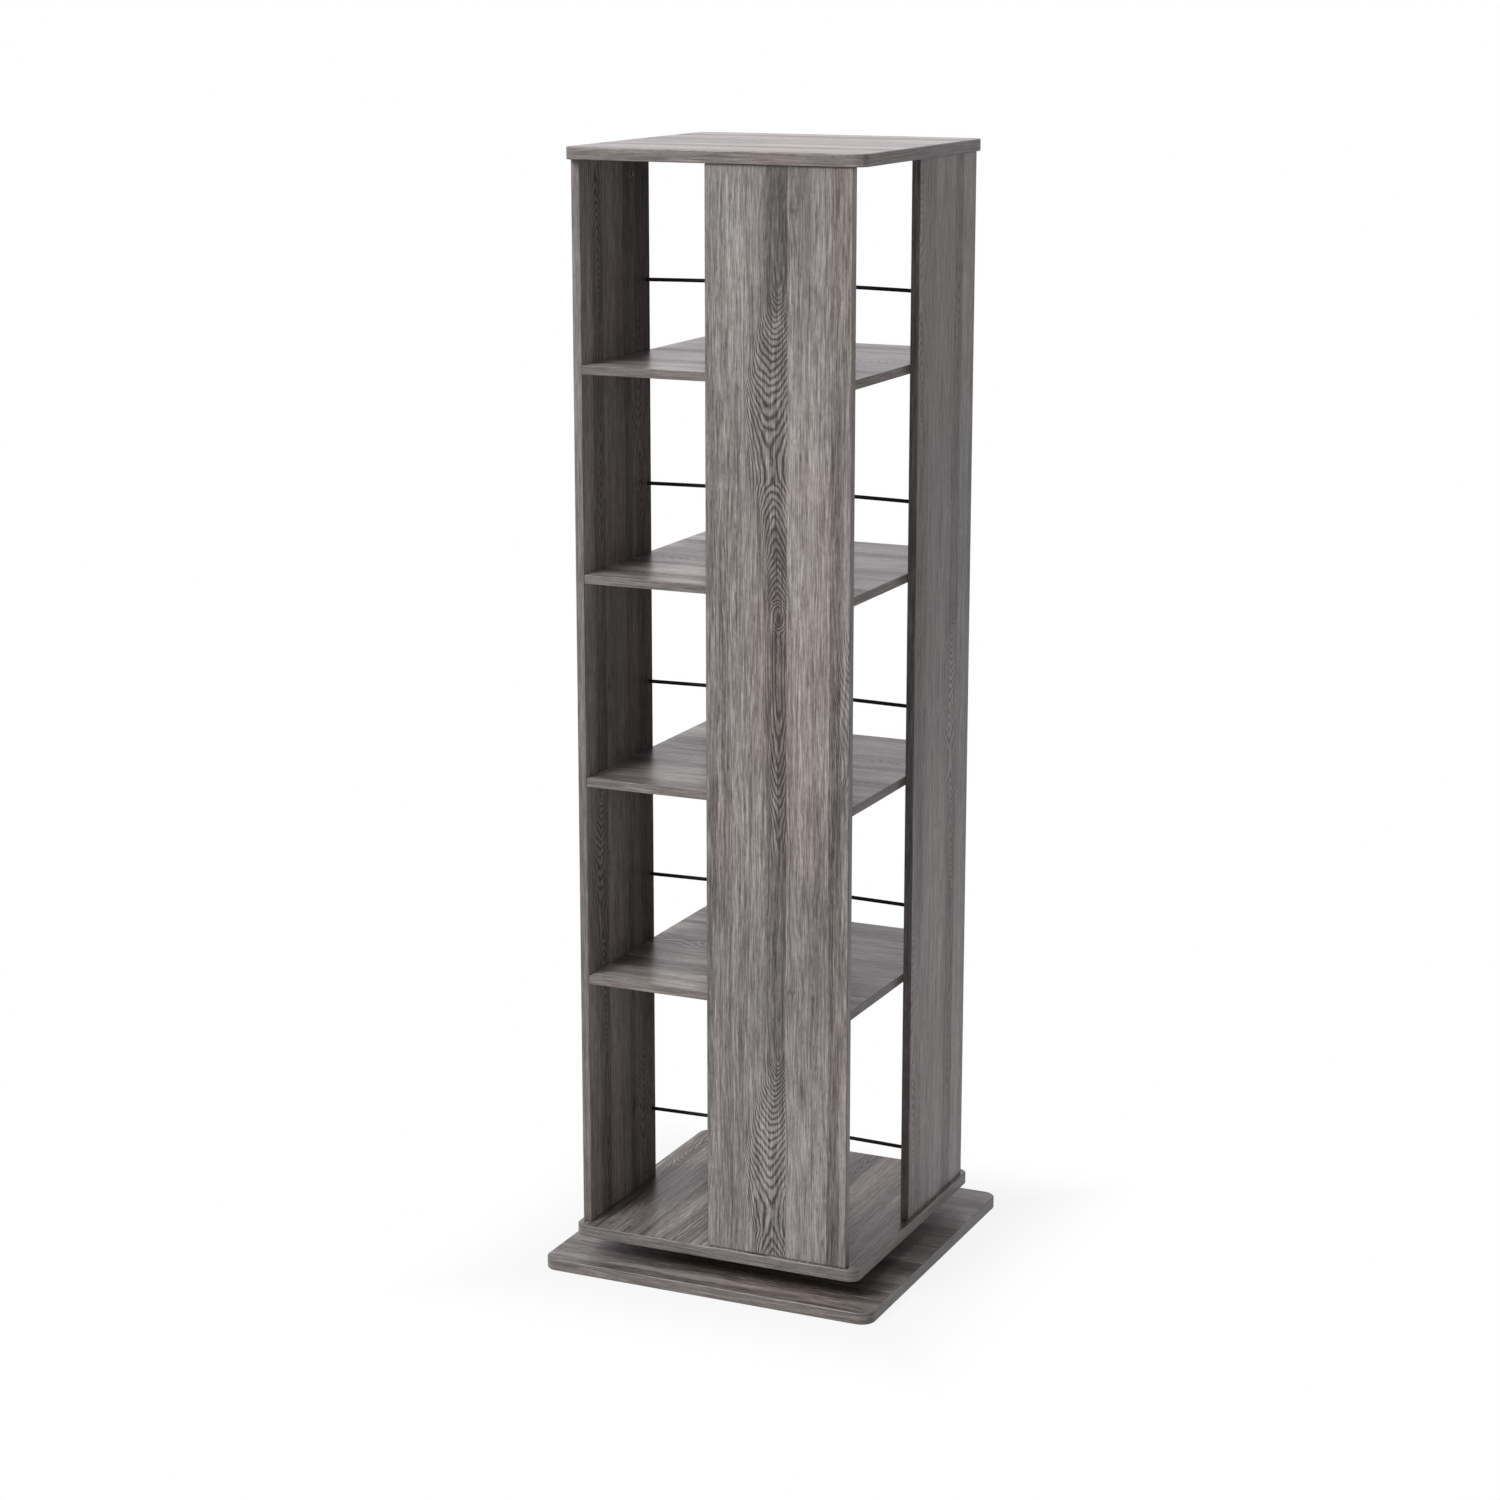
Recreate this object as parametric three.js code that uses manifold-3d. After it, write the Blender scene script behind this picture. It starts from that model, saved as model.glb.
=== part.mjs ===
// Rotating media tower: a pinwheel of four upright panels around four square shelves, with a floor
// plate and a top plate, turning on a caged ball bearing above a square base plate.
// Units are millimetres, +Z is up, and the origin is the centre of the base plate's underside.
// The front side faces -Y, and every other side is the front one turned by quarter turns.

import * as THREE from "three";
import { mergeVertices } from "three/addons/utils/BufferGeometryUtils.js";
import Module from "manifold-3d";

// Boards
const thinBoard = 12; // shelves and upright panels
const thickBoard = 16; // base, spacer, floor and top plates
const shelfSide = 380; // clear width between facing panels, filled by the shelves
const panelPastMiddle = 10; // a panel's reach past the middle of its side, where the rods lodge
const topOverhang = 4; // past the panels' outer faces
const floorOverhang = 5.5; // past the panels' outer faces
const plateCorner = 16; // radius of the floor and top plates' upright corners
const baseSide = 480;
const baseCorner = 20;
const seatGap = 0.1; // between boards that are drawn together

// Bays, as clear heights
const lowestBay = 338;
const upperBay = 260;
const upperBays = 4;

// Retaining rods
const rodDiameter = 5;
const rodHeight = 93; // above each upper bay's shelf
const lowestRodHeight = 101; // above the floor plate
const rodSkin = 5; // board left behind a rod's blind hole
const fitGap = 0.3; // round pins, bolts and screws in their bores, all round

// Cam fittings
const camDiameter = 12;
const camSetback = 27; // from the joint to the cam's axis
const camInset = 50; // from the panel's free edge to the cam's axis
const camSkin = 2.2; // board left behind a cam or a bolt's end
const camSunk = 0.3; // the cam's face below the board's face
const camSlotWidth = 1.6;
const camSlotLength = 7.6;
const camSlotDepth = 2.2;
const boltDiameter = 5;
const boltThread = 6;
const boltPoint = 1.2; // chamfer at the bolt's end

// Swivel bearing
const swivelSide = 230;
const swivelCorner = 8;
const swivelSheet = 1.5;
const swivelScrewInset = 15; // from the plate's edges to its screws
const ballDiameter = 6.5;
const ballPlay = 0.1; // above and below a ball
const ballCount = 16;
const raceMargin = 27; // from the plate's edge to the ball circle
const racePlay = 0.6; // beside a ball, to the race's shoulder
const raceSlope = 2; // run of each pressed shoulder
const beadHeight = 1.5;
const beadCrest = 3;
const cageHalfWidth = 7;
const cageThickness = 1;
const eyeletRadius = 32; // outside of the centre eyelet's barrel
const eyeletRim = 3.6; // reach of its rolled rim under the lower plate
const eyeletPlay = 0.4;
const eyeletFoot = 0.5; // rolled rim above the base plate

// Spacer board and screws
const spacerMargin = 5; // past the swivel's edges
const screwDiameter = 4;
const screwHead = 8;
const screwHeadHeight = 2.2;
const screwBite = 11; // into the board that holds the point
const screwPoint = 3;
const accessHole = 20; // for driving the upper plate's screws
const floorScrewDiameter = 5;
const floorScrewHead = 9;
const floorScrewBite = 34; // into the panel's end

// Drawing tolerances and facet counts
const overrun = 1; // of a cutter past the face it opens
const sheetLap = 1; // of a pressed ring into its square sheet
const mergeDistance = 1e-4;
const roundSides = 32;
const rodSides = 8;
const rodSteps = 6;
const camSides = 12;
const boltSides = 6;
const screwSides = 8;
const ballSides = 8;
const ballRings = 5;
const accessSides = 16;
const cornerSteps = 5;

// Worked out from the sizes above
const quarterTurn = Math.PI / 2;
const halfSpan = shelfSide / 2; // centre to the panels' inner faces
const towerHalf = halfSpan + thinBoard;
const swivelHeight = 2 * swivelSheet + ballDiameter + 2 * ballPlay;
const swivelBottom = thickBoard + seatGap;
const swivelTop = swivelBottom + swivelHeight;
const spacerBottom = swivelTop + seatGap;
const floorBottom = spacerBottom + thickBoard + seatGap;
const floorTop = floorBottom + thickBoard;
const firstShelf = floorTop + lowestBay; // underside of the lowest shelf
const shelfPitch = upperBay + thinBoard;
const shelfBottoms = Array.from({ length: upperBays }, (_, i) => firstShelf + i * shelfPitch);
const topBottom = firstShelf + upperBays * shelfPitch;
const panelBottom = floorTop + seatGap;
const panelHeight = topBottom - floorTop - 2 * seatGap;
const freeEdge = -panelPastMiddle; // a panel's edge near the middle of its side
const panelWidth = halfSpan + panelPastMiddle;
const camAlong = freeEdge + camInset;
const rodLevels = [floorTop + lowestRodHeight, ...shelfBottoms.map((z) => z + thinBoard + rodHeight)];
const raceRadius = swivelSide / 2 - raceMargin;
const swivelScrew = swivelSide / 2 - swivelScrewInset;
const sideNames = ["front", "right", "back", "left"];

const wasm = await Module();
wasm.setup();

// Finishes
const oak = new THREE.MeshStandardMaterial({ color: 0x7d7671, roughness: 0.5, metalness: 0 });
const blackRod = new THREE.MeshStandardMaterial({ color: 0x17171a, roughness: 0.4, metalness: 0.2 });
const zinc = new THREE.MeshStandardMaterial({ color: 0xb9bcc0, roughness: 0.35, metalness: 1 });
const chipboard = new THREE.MeshStandardMaterial({ color: 0x9b8468, roughness: 0.8, metalness: 0 });

/** Makes the boolean solid of a closed geometry. */
function solidOf(geometry) {
  const bare = geometry.clone();
  bare.deleteAttribute("normal");
  bare.deleteAttribute("uv");
  const merged = mergeVertices(bare, mergeDistance);
  return new wasm.Manifold(
    new wasm.Mesh({
      numProp: 3,
      vertProperties: merged.attributes.position.array,
      triVerts: new Uint32Array(merged.index.array),
    }),
  );
}

/** Turns a boolean solid back into a geometry with flat faces. */
function geometryOf(solid) {
  const made = solid.getMesh();
  const geometry = new THREE.BufferGeometry();
  geometry.setAttribute("position", new THREE.BufferAttribute(made.vertProperties, made.numProp));
  geometry.setIndex(new THREE.BufferAttribute(made.triVerts, 1));
  const flat = geometry.toNonIndexed();
  flat.computeVertexNormals();
  return flat;
}

/** Joins closed geometries that overlap into one body. */
function join(geometries) {
  return geometryOf(geometries.map(solidOf).reduce((whole, piece) => whole.add(piece)));
}

/** Cuts closed geometries out of a body. */
function cut(body, cutters) {
  return geometryOf(cutters.map(solidOf).reduce((whole, piece) => whole.subtract(piece), solidOf(body)));
}

/** A box given by its two opposite corners. */
function boxBetween(low, high) {
  const size = high.map((value, i) => value - low[i]);
  const middle = high.map((value, i) => (value + low[i]) / 2);
  return new THREE.BoxGeometry(...size).translate(...middle);
}

/** A cylinder along +Z from one level to another. */
function pillar(radius, bottom, top, sides) {
  return new THREE.CylinderGeometry(radius, radius, top - bottom, sides)
    .rotateX(quarterTurn)
    .translate(0, 0, (bottom + top) / 2);
}

/** A body turned about +Z from a closed outline of [radius, height] points. */
function turned(outline, sides) {
  const points = outline.map(([radius, height]) => new THREE.Vector2(radius, height));
  return new THREE.LatheGeometry(points, sides).rotateX(quarterTurn);
}

/** The outline of a square with rounded corners. */
function roundedSquare(side, corner) {
  const half = side / 2;
  const centre = half - corner;
  const shape = new THREE.Shape();
  shape.absarc(centre, -centre, corner, -quarterTurn, 0);
  shape.absarc(centre, centre, corner, 0, quarterTurn);
  shape.absarc(-centre, centre, corner, quarterTurn, 2 * quarterTurn);
  shape.absarc(-centre, -centre, corner, 2 * quarterTurn, 3 * quarterTurn);
  shape.closePath();
  return shape;
}

/** A square plate with rounded corners and its underside on z = 0. */
function squarePlate(side, corner, thickness) {
  const shape = roundedSquare(side, corner);
  const options = { depth: thickness, bevelEnabled: false, curveSegments: cornerSteps };
  return new THREE.ExtrudeGeometry(shape, options);
}

/** The four quarter-turned copies of a geometry. */
function onFourSides(geometry) {
  return sideNames.map((_, i) => geometry.clone().rotateZ(i * quarterTurn));
}

/** Makes a named mesh. */
function piece(name, geometry, material) {
  const mesh = new THREE.Mesh(geometry, material);
  mesh.name = name;
  return mesh;
}

// Cam fitting. Its own frame has the board's face on z = 0 with the board above it, the cam's axis
// along +Z, and the bolt along -Y at the middle of the thin board, through the joint at camSetback.

const camTop = thinBoard - camSkin;
const boltLevel = thinBoard / 2;
const jointAt = camSetback + seatGap;
const boltEnd = jointAt + thinBoard - camSkin - fitGap;

/** A stretch of the bolt's line, between two distances from the cam's axis. */
function alongBolt(radius, start, end, endRadius = radius) {
  return new THREE.CylinderGeometry(radius, endRadius, end - start, boltSides)
    .translate(0, -(start + end) / 2, 0)
    .translate(0, 0, boltLevel);
}

/** The cam disc with its cross slot, and the bolt locked in it. */
function camFittingGeometry() {
  const disc = pillar(camDiameter / 2, camSunk, camTop - fitGap, camSides);
  const slot = boxBetween(
    [-camSlotWidth / 2, -camSlotLength / 2, 0],
    [camSlotWidth / 2, camSlotLength / 2, camSunk + camSlotDepth],
  );
  const thread = boltEnd - boltPoint;
  return join([
    cut(disc, [slot, slot.clone().rotateZ(quarterTurn)]),
    alongBolt(boltDiameter / 2, camDiameter / 4, jointAt + boltPoint),
    alongBolt(boltThread / 2, jointAt + fitGap, thread),
    alongBolt(boltThread / 2, thread, boltEnd, boltThread / 2 - boltPoint),
  ]);
}

/** The bores that a cam fitting needs in the two boards it joins. */
function camFittingBores() {
  return [
    pillar(camDiameter / 2 + fitGap, -overrun, camTop, camSides),
    alongBolt(boltDiameter / 2 + fitGap, camDiameter / 4, jointAt),
    alongBolt(boltThread / 2 + fitGap, jointAt - seatGap, boltEnd + fitGap),
  ];
}

/** Places a cam fitting under a shelf's edge, in the frame of the front side. */
function underShelf(object, shelfBottom) {
  object.position.set(camAlong, camSetback + seatGap - halfSpan, shelfBottom);
  return object;
}

/** Places a cam fitting in a panel's inner face, with its bolt up into the top plate. */
function underTop(object) {
  object.rotation.set(-quarterTurn, 0, 2 * quarterTurn, "ZYX");
  object.position.set(camAlong, -halfSpan, topBottom - seatGap - camSetback);
  return object;
}

/** A placed object's bores, moved with it and dropped to a board's own height. */
function placedBores(object, boardLevel) {
  object.position.z -= boardLevel;
  object.updateMatrix();
  return camFittingBores().map((bore) => bore.applyMatrix4(object.matrix));
}

// Boards

/** The bow of a rod at a distance from its middle: a beam on two ends, loaded where rods cross. */
function rodBow(fromMiddle, length) {
  const share = Math.max(0, 0.5 - Math.abs(fromMiddle) / length);
  return ((rodDiameter + fitGap) / 2) * (3 * share - 4 * share ** 3);
}

/** A rod along X, bowed up by half the thickness of the rod that it crosses. */
function rodGeometry() {
  const reach = towerHalf - rodSkin - fitGap;
  const rod = new THREE.CylinderGeometry(rodDiameter / 2, rodDiameter / 2, 2 * reach, rodSides, rodSteps);
  rod.rotateZ(quarterTurn);
  const place = rod.attributes.position;
  for (let i = 0; i < place.count; i += 1) {
    place.setZ(i, place.getZ(i) + rodBow(place.getX(i), 2 * reach));
  }
  rod.computeVertexNormals();
  return rod;
}

/** An upright panel of the front side, on z = 0, with its bores. */
function panelGeometry() {
  const body = boxBetween([freeEdge, -towerHalf, 0], [halfSpan, -halfSpan, panelHeight]);
  const rodBore = new THREE.CylinderGeometry(
    rodDiameter / 2 + fitGap,
    rodDiameter / 2 + fitGap,
    thinBoard - rodSkin + overrun,
    rodSides,
  ).translate(0, (overrun + rodSkin - thinBoard) / 2 - halfSpan, 0);
  const bores = rodLevels.map((z) => rodBore.clone().translate(0, 0, z - panelBottom));
  shelfBottoms.forEach((z) => bores.push(...placedBores(underShelf(new THREE.Object3D(), z), panelBottom)));
  bores.push(...placedBores(underTop(new THREE.Object3D()), panelBottom));
  bores.push(floorScrewBore().translate(0, 0, floorBottom - panelBottom));
  return cut(body, bores);
}

/** A square shelf, on z = 0, with the bores of its four cam fittings. */
function shelfGeometry() {
  const half = halfSpan - seatGap;
  const body = boxBetween([-half, -half, 0], [half, half, thinBoard]);
  const bores = placedBores(underShelf(new THREE.Object3D(), 0), 0);
  return cut(body, bores.flatMap(onFourSides));
}

/** The top plate, on z = 0, with the bores of the panels' bolts. */
function topPlateGeometry() {
  const body = squarePlate(2 * (towerHalf + topOverhang), plateCorner, thickBoard);
  return cut(body, placedBores(underTop(new THREE.Object3D()), topBottom).flatMap(onFourSides));
}

/** The floor plate, on z = 0, with countersunk holes for the panels and pilots for the swivel. */
function floorPlateGeometry() {
  const body = squarePlate(2 * (towerHalf + floorOverhang), plateCorner, thickBoard);
  const pilot = upperScrewBore().translate(0, 0, swivelBottom + swivelHeight - floorBottom);
  return cut(body, [floorScrewBore(), pilot].flatMap(onFourSides));
}

/** The spacer board between swivel and floor plate, on z = 0. */
function spacerGeometry() {
  const body = squarePlate(swivelSide + 2 * spacerMargin, swivelCorner, thickBoard);
  return cut(body, onFourSides(upperScrewBore().translate(0, 0, swivelTop - spacerBottom)));
}

/** The base plate, on z = 0, with pilots for the swivel and the hole that reaches its upper screws. */
function basePlateGeometry() {
  const body = squarePlate(baseSide, baseCorner, thickBoard);
  const pilot = lowerScrewBore().translate(0, 0, swivelBottom);
  const access = pillar(accessHole / 2, -overrun, thickBoard + overrun, accessSides);
  access.translate(swivelScrew * Math.SQRT2, 0, 0);
  return cut(body, [...onFourSides(pilot), access]);
}

// Swivel bearing. Both plates are pressed from sheet: a flat square border, a raised bead, the
// race that the balls run in, and a raised plateau round the centre.

/** Half of the bearing's pressed sheet on z = 0, with its plateau ending at the given radius. */
function pressedPlate(plateauRadius) {
  const shoulder = ballDiameter / 2 + racePlay;
  const outerRace = raceRadius + shoulder;
  const innerRace = raceRadius - shoulder;
  const beadStart = outerRace + raceSlope;
  const beadEnd = beadStart + beadCrest;
  const flatStart = beadEnd + raceSlope;
  const plateau = eyeletFoot + swivelSheet + eyeletPlay;
  const ring = turned(
    [
      [flatStart + sheetLap, 0],
      [flatStart + sheetLap, swivelSheet],
      [flatStart, swivelSheet],
      [beadEnd, swivelSheet + beadHeight],
      [beadStart, swivelSheet + beadHeight],
      [outerRace, swivelSheet],
      [innerRace, swivelSheet],
      [innerRace - raceSlope, swivelSheet + plateau],
      [plateauRadius, swivelSheet + plateau],
      [plateauRadius, plateau],
      [innerRace - raceSlope, plateau],
      [innerRace, 0],
      [outerRace, 0],
      [beadStart, beadHeight],
      [beadEnd, beadHeight],
      [flatStart, 0],
      [flatStart + sheetLap, 0],
    ],
    roundSides,
  );
  const hole = pillar(screwDiameter / 2 + fitGap, -overrun, swivelSheet + overrun, screwSides);
  hole.translate(swivelScrew, swivelScrew, 0);
  const opening = pillar(flatStart, -overrun, swivelSheet + overrun, roundSides);
  const border = cut(squarePlate(swivelSide, swivelCorner, swivelSheet), [opening, ...onFourSides(hole)]);
  return join([border, ring]);
}

/** The upper plate on z = 0, with the eyelet whose rolled rim holds the lower plate's plateau. */
function upperPlateGeometry() {
  const barrel = eyeletRadius - swivelSheet;
  const plateau = swivelHeight - eyeletFoot - swivelSheet - eyeletPlay;
  const sheet = pressedPlate(eyeletRadius).rotateX(2 * quarterTurn).translate(0, 0, swivelHeight);
  const eyelet = turned(
    [
      [eyeletRadius, eyeletFoot + swivelSheet],
      [eyeletRadius, plateau - swivelSheet],
      [eyeletRadius + sheetLap, plateau - swivelSheet],
      [eyeletRadius + sheetLap, plateau],
      [barrel, plateau],
      [barrel, eyeletFoot],
      [eyeletRadius + eyeletRim, eyeletFoot],
      [eyeletRadius + eyeletRim, eyeletFoot + swivelSheet],
      [eyeletRadius, eyeletFoot + swivelSheet],
    ],
    roundSides,
  );
  return join([sheet, eyelet]);
}

/** The ring of balls in their cage, with its middle on z = 0. */
function ballRingGeometry() {
  const inner = raceRadius - cageHalfWidth;
  const outer = raceRadius + cageHalfWidth;
  const half = cageThickness / 2;
  const cage = turned(
    [
      [inner, -half],
      [outer, -half],
      [outer, half],
      [inner, half],
      [inner, -half],
    ],
    roundSides,
  );
  const ball = new THREE.SphereGeometry(ballDiameter / 2, ballSides, ballRings)
    .rotateX(quarterTurn)
    .translate(raceRadius, 0, 0);
  const turn = (4 * quarterTurn) / ballCount;
  const balls = Array.from({ length: ballCount }, (_, i) => ball.clone().rotateZ((i + 0.5) * turn));
  return join([cage, ...balls]);
}

// Screws. A screw's own frame has the seat of its head on z = 0 and its point towards +Z.

/** A pan-head screw. */
function panScrewGeometry(length) {
  const radius = screwDiameter / 2;
  return turned(
    [
      [0, -screwHeadHeight],
      [screwHead / 4, -screwHeadHeight],
      [screwHead / 2, -screwHeadHeight / 2],
      [screwHead / 2, 0],
      [radius, 0],
      [radius, length - screwPoint],
      [0, length],
    ],
    screwSides,
  );
}

/** A flat-head screw whose head is sunk in the floor plate. */
function floorScrewGeometry() {
  const radius = floorScrewDiameter / 2;
  const head = floorScrewHead / 2;
  return turned(
    [
      [0, fitGap],
      [head, fitGap],
      [radius, fitGap + head - radius],
      [radius, floorScrewLength() - screwPoint],
      [0, floorScrewLength()],
    ],
    screwSides,
  );
}

/** Length of a floor screw from the floor plate's underside to its point. */
function floorScrewLength() {
  return thickBoard + floorScrewBite;
}

/** The countersunk bore of a floor screw, from the floor plate's underside at z = 0. */
function floorScrewBore() {
  const radius = floorScrewDiameter / 2 + fitGap;
  const head = floorScrewHead / 2 + fitGap;
  return turned(
    [
      [0, -overrun],
      [head, -overrun],
      [head, fitGap],
      [radius, fitGap + head - radius],
      [radius, floorScrewLength() + fitGap],
      [0, floorScrewLength() + fitGap],
    ],
    screwSides,
  ).translate(halfSpan - panelWidth / 2, -halfSpan - thinBoard / 2, 0);
}

const lowerScrewLength = swivelSheet + screwBite;
const upperScrewLength = swivelSheet + thickBoard + screwBite;

/** The bore of an upper plate's screw, from the plate's top at z = 0 upward. */
function upperScrewBore() {
  const end = upperScrewLength - swivelSheet + fitGap;
  return pillar(screwDiameter / 2 + fitGap, -overrun, end, screwSides).translate(swivelScrew, swivelScrew, 0);
}

/** The bore of a lower plate's screw, from the plate's underside at z = 0 downward. */
function lowerScrewBore() {
  const end = lowerScrewLength - swivelSheet + fitGap;
  return pillar(screwDiameter / 2 + fitGap, -end, overrun, screwSides).translate(swivelScrew, swivelScrew, 0);
}

/** Four screws at the corners of a swivel plate, driven up or down from the given level. */
function swivelScrews(name, length, level, down) {
  const screws = new THREE.Group();
  const geometry = panScrewGeometry(length);
  sideNames.forEach((_, i) => {
    const corner = new THREE.Group();
    const screw = piece(`${name}_${i + 1}`, geometry, zinc);
    screw.position.set(swivelScrew, swivelScrew, level);
    screw.rotation.x = down ? 2 * quarterTurn : 0;
    corner.rotation.z = i * quarterTurn;
    corner.add(screw);
    screws.add(corner);
  });
  return screws;
}

// Assembly

/** The base plate with the swivel's lower plate, which stand still. */
function standingBase() {
  const base = new THREE.Group();
  const lowerPlate = piece("swivel_lower_plate", pressedPlate(eyeletRadius + eyeletPlay), zinc);
  lowerPlate.position.z = swivelBottom;
  base.add(piece("base_plate", basePlateGeometry(), oak));
  base.add(lowerPlate);
  base.add(swivelScrews("lower_plate_screw", lowerScrewLength, swivelBottom + swivelSheet, true));
  return base;
}

/** One side of the tower: its panel, the fittings that hold it, and its floor screw. */
function towerSide(name, geometries) {
  const side = new THREE.Group();
  const panel = piece(`panel_${name}`, geometries.panel, oak);
  panel.position.z = panelBottom;
  side.add(panel);
  shelfBottoms.forEach((z, i) => {
    side.add(underShelf(piece(`cam_${name}_shelf_${i + 1}`, geometries.cam, zinc), z));
  });
  side.add(underTop(piece(`cam_${name}_top`, geometries.cam, zinc)));
  const screw = piece(`floor_screw_${name}`, geometries.screw, zinc);
  screw.position.set(halfSpan - panelWidth / 2, -halfSpan - thinBoard / 2, floorBottom);
  side.add(screw);
  return side;
}

/** Five rods along one direction; the second set is the first one turned and laid upside down. */
function rods(name, crossed) {
  const set = new THREE.Group();
  const geometry = rodGeometry();
  rodLevels.forEach((z, i) => {
    const rod = piece(`${name}_${i + 1}`, geometry, blackRod);
    rod.position.z = z;
    rod.rotation.x = crossed ? 2 * quarterTurn : 0;
    set.add(rod);
  });
  set.rotation.z = crossed ? quarterTurn : 0;
  return set;
}

/** Everything that turns with the tower. */
function turningTower() {
  const tower = new THREE.Group();
  const levels = [
    ["swivel_upper_plate", upperPlateGeometry(), zinc, swivelBottom],
    ["spacer_board", spacerGeometry(), chipboard, spacerBottom],
    ["floor_plate", floorPlateGeometry(), oak, floorBottom],
    ["top_plate", topPlateGeometry(), oak, topBottom],
  ];
  const shelf = shelfGeometry();
  shelfBottoms.forEach((z, i) => levels.push([`shelf_${i + 1}`, shelf, oak, z]));
  levels.forEach(([name, geometry, material, z]) => {
    const board = piece(name, geometry, material);
    board.position.z = z;
    tower.add(board);
  });
  tower.add(swivelScrews("upper_plate_screw", upperScrewLength, swivelTop - swivelSheet, false));
  const geometries = { panel: panelGeometry(), cam: camFittingGeometry(), screw: floorScrewGeometry() };
  sideNames.forEach((name, i) => {
    const side = towerSide(name, geometries);
    side.rotation.z = i * quarterTurn;
    tower.add(side);
  });
  tower.add(rods("rod_left_right", false), rods("rod_front_back", true));
  return tower;
}

const mediaTower = new THREE.Group();
const ballRing = piece("bearing_ball_ring", ballRingGeometry(), zinc);
ballRing.position.z = swivelBottom + swivelHeight / 2;
mediaTower.add(standingBase(), ballRing, turningTower());

export default mediaTower;
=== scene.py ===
"""Looks of the rotating media tower: grey oak laminate boards with banded edges, black retaining rods,
cam fittings and a caged ball swivel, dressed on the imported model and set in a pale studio."""

import logging
import math
from dataclasses import dataclass, field
from enum import Enum
from itertools import accumulate
from typing import Callable, Sequence, Union

import bmesh
import bpy
from mathutils import Matrix, Vector


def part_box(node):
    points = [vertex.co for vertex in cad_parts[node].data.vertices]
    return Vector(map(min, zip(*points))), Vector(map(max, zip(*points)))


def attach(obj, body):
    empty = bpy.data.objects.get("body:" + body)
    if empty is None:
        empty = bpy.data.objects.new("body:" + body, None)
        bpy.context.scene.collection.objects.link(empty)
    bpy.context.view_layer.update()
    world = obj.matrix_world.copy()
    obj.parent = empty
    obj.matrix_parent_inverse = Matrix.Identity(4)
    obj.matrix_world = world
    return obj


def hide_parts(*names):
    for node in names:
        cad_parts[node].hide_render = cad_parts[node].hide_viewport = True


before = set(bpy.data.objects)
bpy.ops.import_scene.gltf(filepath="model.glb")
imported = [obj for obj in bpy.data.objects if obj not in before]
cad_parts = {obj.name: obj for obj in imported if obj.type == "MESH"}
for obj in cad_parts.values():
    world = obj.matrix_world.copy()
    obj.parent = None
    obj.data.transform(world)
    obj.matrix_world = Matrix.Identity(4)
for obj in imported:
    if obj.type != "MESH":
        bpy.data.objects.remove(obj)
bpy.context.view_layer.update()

MM = 0.001
PRINT_MAP = "print"
TURN_MAP = "turn"
PLACING_TREE = "placing"
SHARP_ANGLE = math.radians(32)
UPSIDE_DOWN = Matrix.Rotation(math.pi, 4, "X")
# The CAD nodes that come in fours are numbered from 1.
FOUR = range(1, 5)
LOG = logging.getLogger("media_tower")

Colour = tuple[float, float, float]
Line = Sequence[tuple[float, float]]
Stops = Sequence[tuple[float, Colour]]
Piece = bpy.types.Object
Mesh = bpy.types.Mesh
Node = bpy.types.Node
Tree = bpy.types.NodeTree
Value = Union[float, str, Sequence[float], bpy.types.ID, "Wire"]
Inputs = dict[str | int, Value]


class Axis(Enum):
    """The three directions of the row frame."""

    X = 0
    Y = 1
    Z = 2

    @property
    def turn(self) -> Matrix:
        """The turn that brings Z onto this axis."""
        return (Matrix.Rotation(math.pi / 2, 4, "Y"), Matrix.Rotation(-math.pi / 2, 4, "X"),
                Matrix.Identity(4))[self.value]


class Side(Enum):
    """The four sides of the tower, in quarter turns from the front."""

    FRONT = 0
    RIGHT = 1
    BACK = 2
    LEFT = 3

    @property
    def word(self) -> str:
        """The side as it is named in the CAD nodes."""
        return self.name.lower()

    @property
    def thickness(self) -> Axis:
        """The axis through the side's panel."""
        return (Axis.Y, Axis.X)[self.value % 2]

    @property
    def inward(self) -> float:
        """The sign, along that axis, of a bore from the panel's inner face into it."""
        return -1.0 if self in (Side.FRONT, Side.LEFT) else 1.0


class Slot(Enum):
    """The record's material slots."""

    OAK = "grey_oak_laminate"
    ROD = "black_rod"
    ZINC = "zinc_hardware"
    CHIPBOARD = "raw_chipboard"


def linear(red: int, green: int, blue: int) -> Colour:
    """Turns a colour as seen on screen, 0 to 255, into linear values by the screen's standard curve."""
    shares = (channel / 255 for channel in (red, green, blue))
    return tuple(s / 12.92 if s <= 0.04045 else ((s + 0.055) / 1.055) ** 2.4 for s in shares)


@dataclass(frozen=True)
class Stretch:
    """A stretch of values from low to high, and what its start and end become."""

    low: float
    high: float
    start: float = 0.0
    end: float = 1.0
    smooth: bool = False


@dataclass(frozen=True)
class Relief:
    """How far a height of 1 stands out, in metres, and the share of it that shows."""

    distance: float
    share: float


@dataclass(frozen=True)
class Grain:
    """A noise drawn out along the grain, and how much it darkens.

    Width and length of its streaks are millimetres. The noise runs about 0.5, and the stretch from low
    to high becomes the whole darkening.
    """

    wide: float
    long: float
    seed: float
    detail: float = 2.0
    rough: float = 0.5
    low: float = 0.34
    high: float = 0.66
    weight: float = 0.0

    @property
    def darkening(self) -> Stretch:
        """How the noise darkens."""
        return Stretch(self.low, self.high, 0.0, self.weight)

    @property
    def swing(self) -> Stretch:
        """How the noise lightens and darkens alike."""
        return Stretch(self.low, self.high, -self.weight, self.weight)


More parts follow.
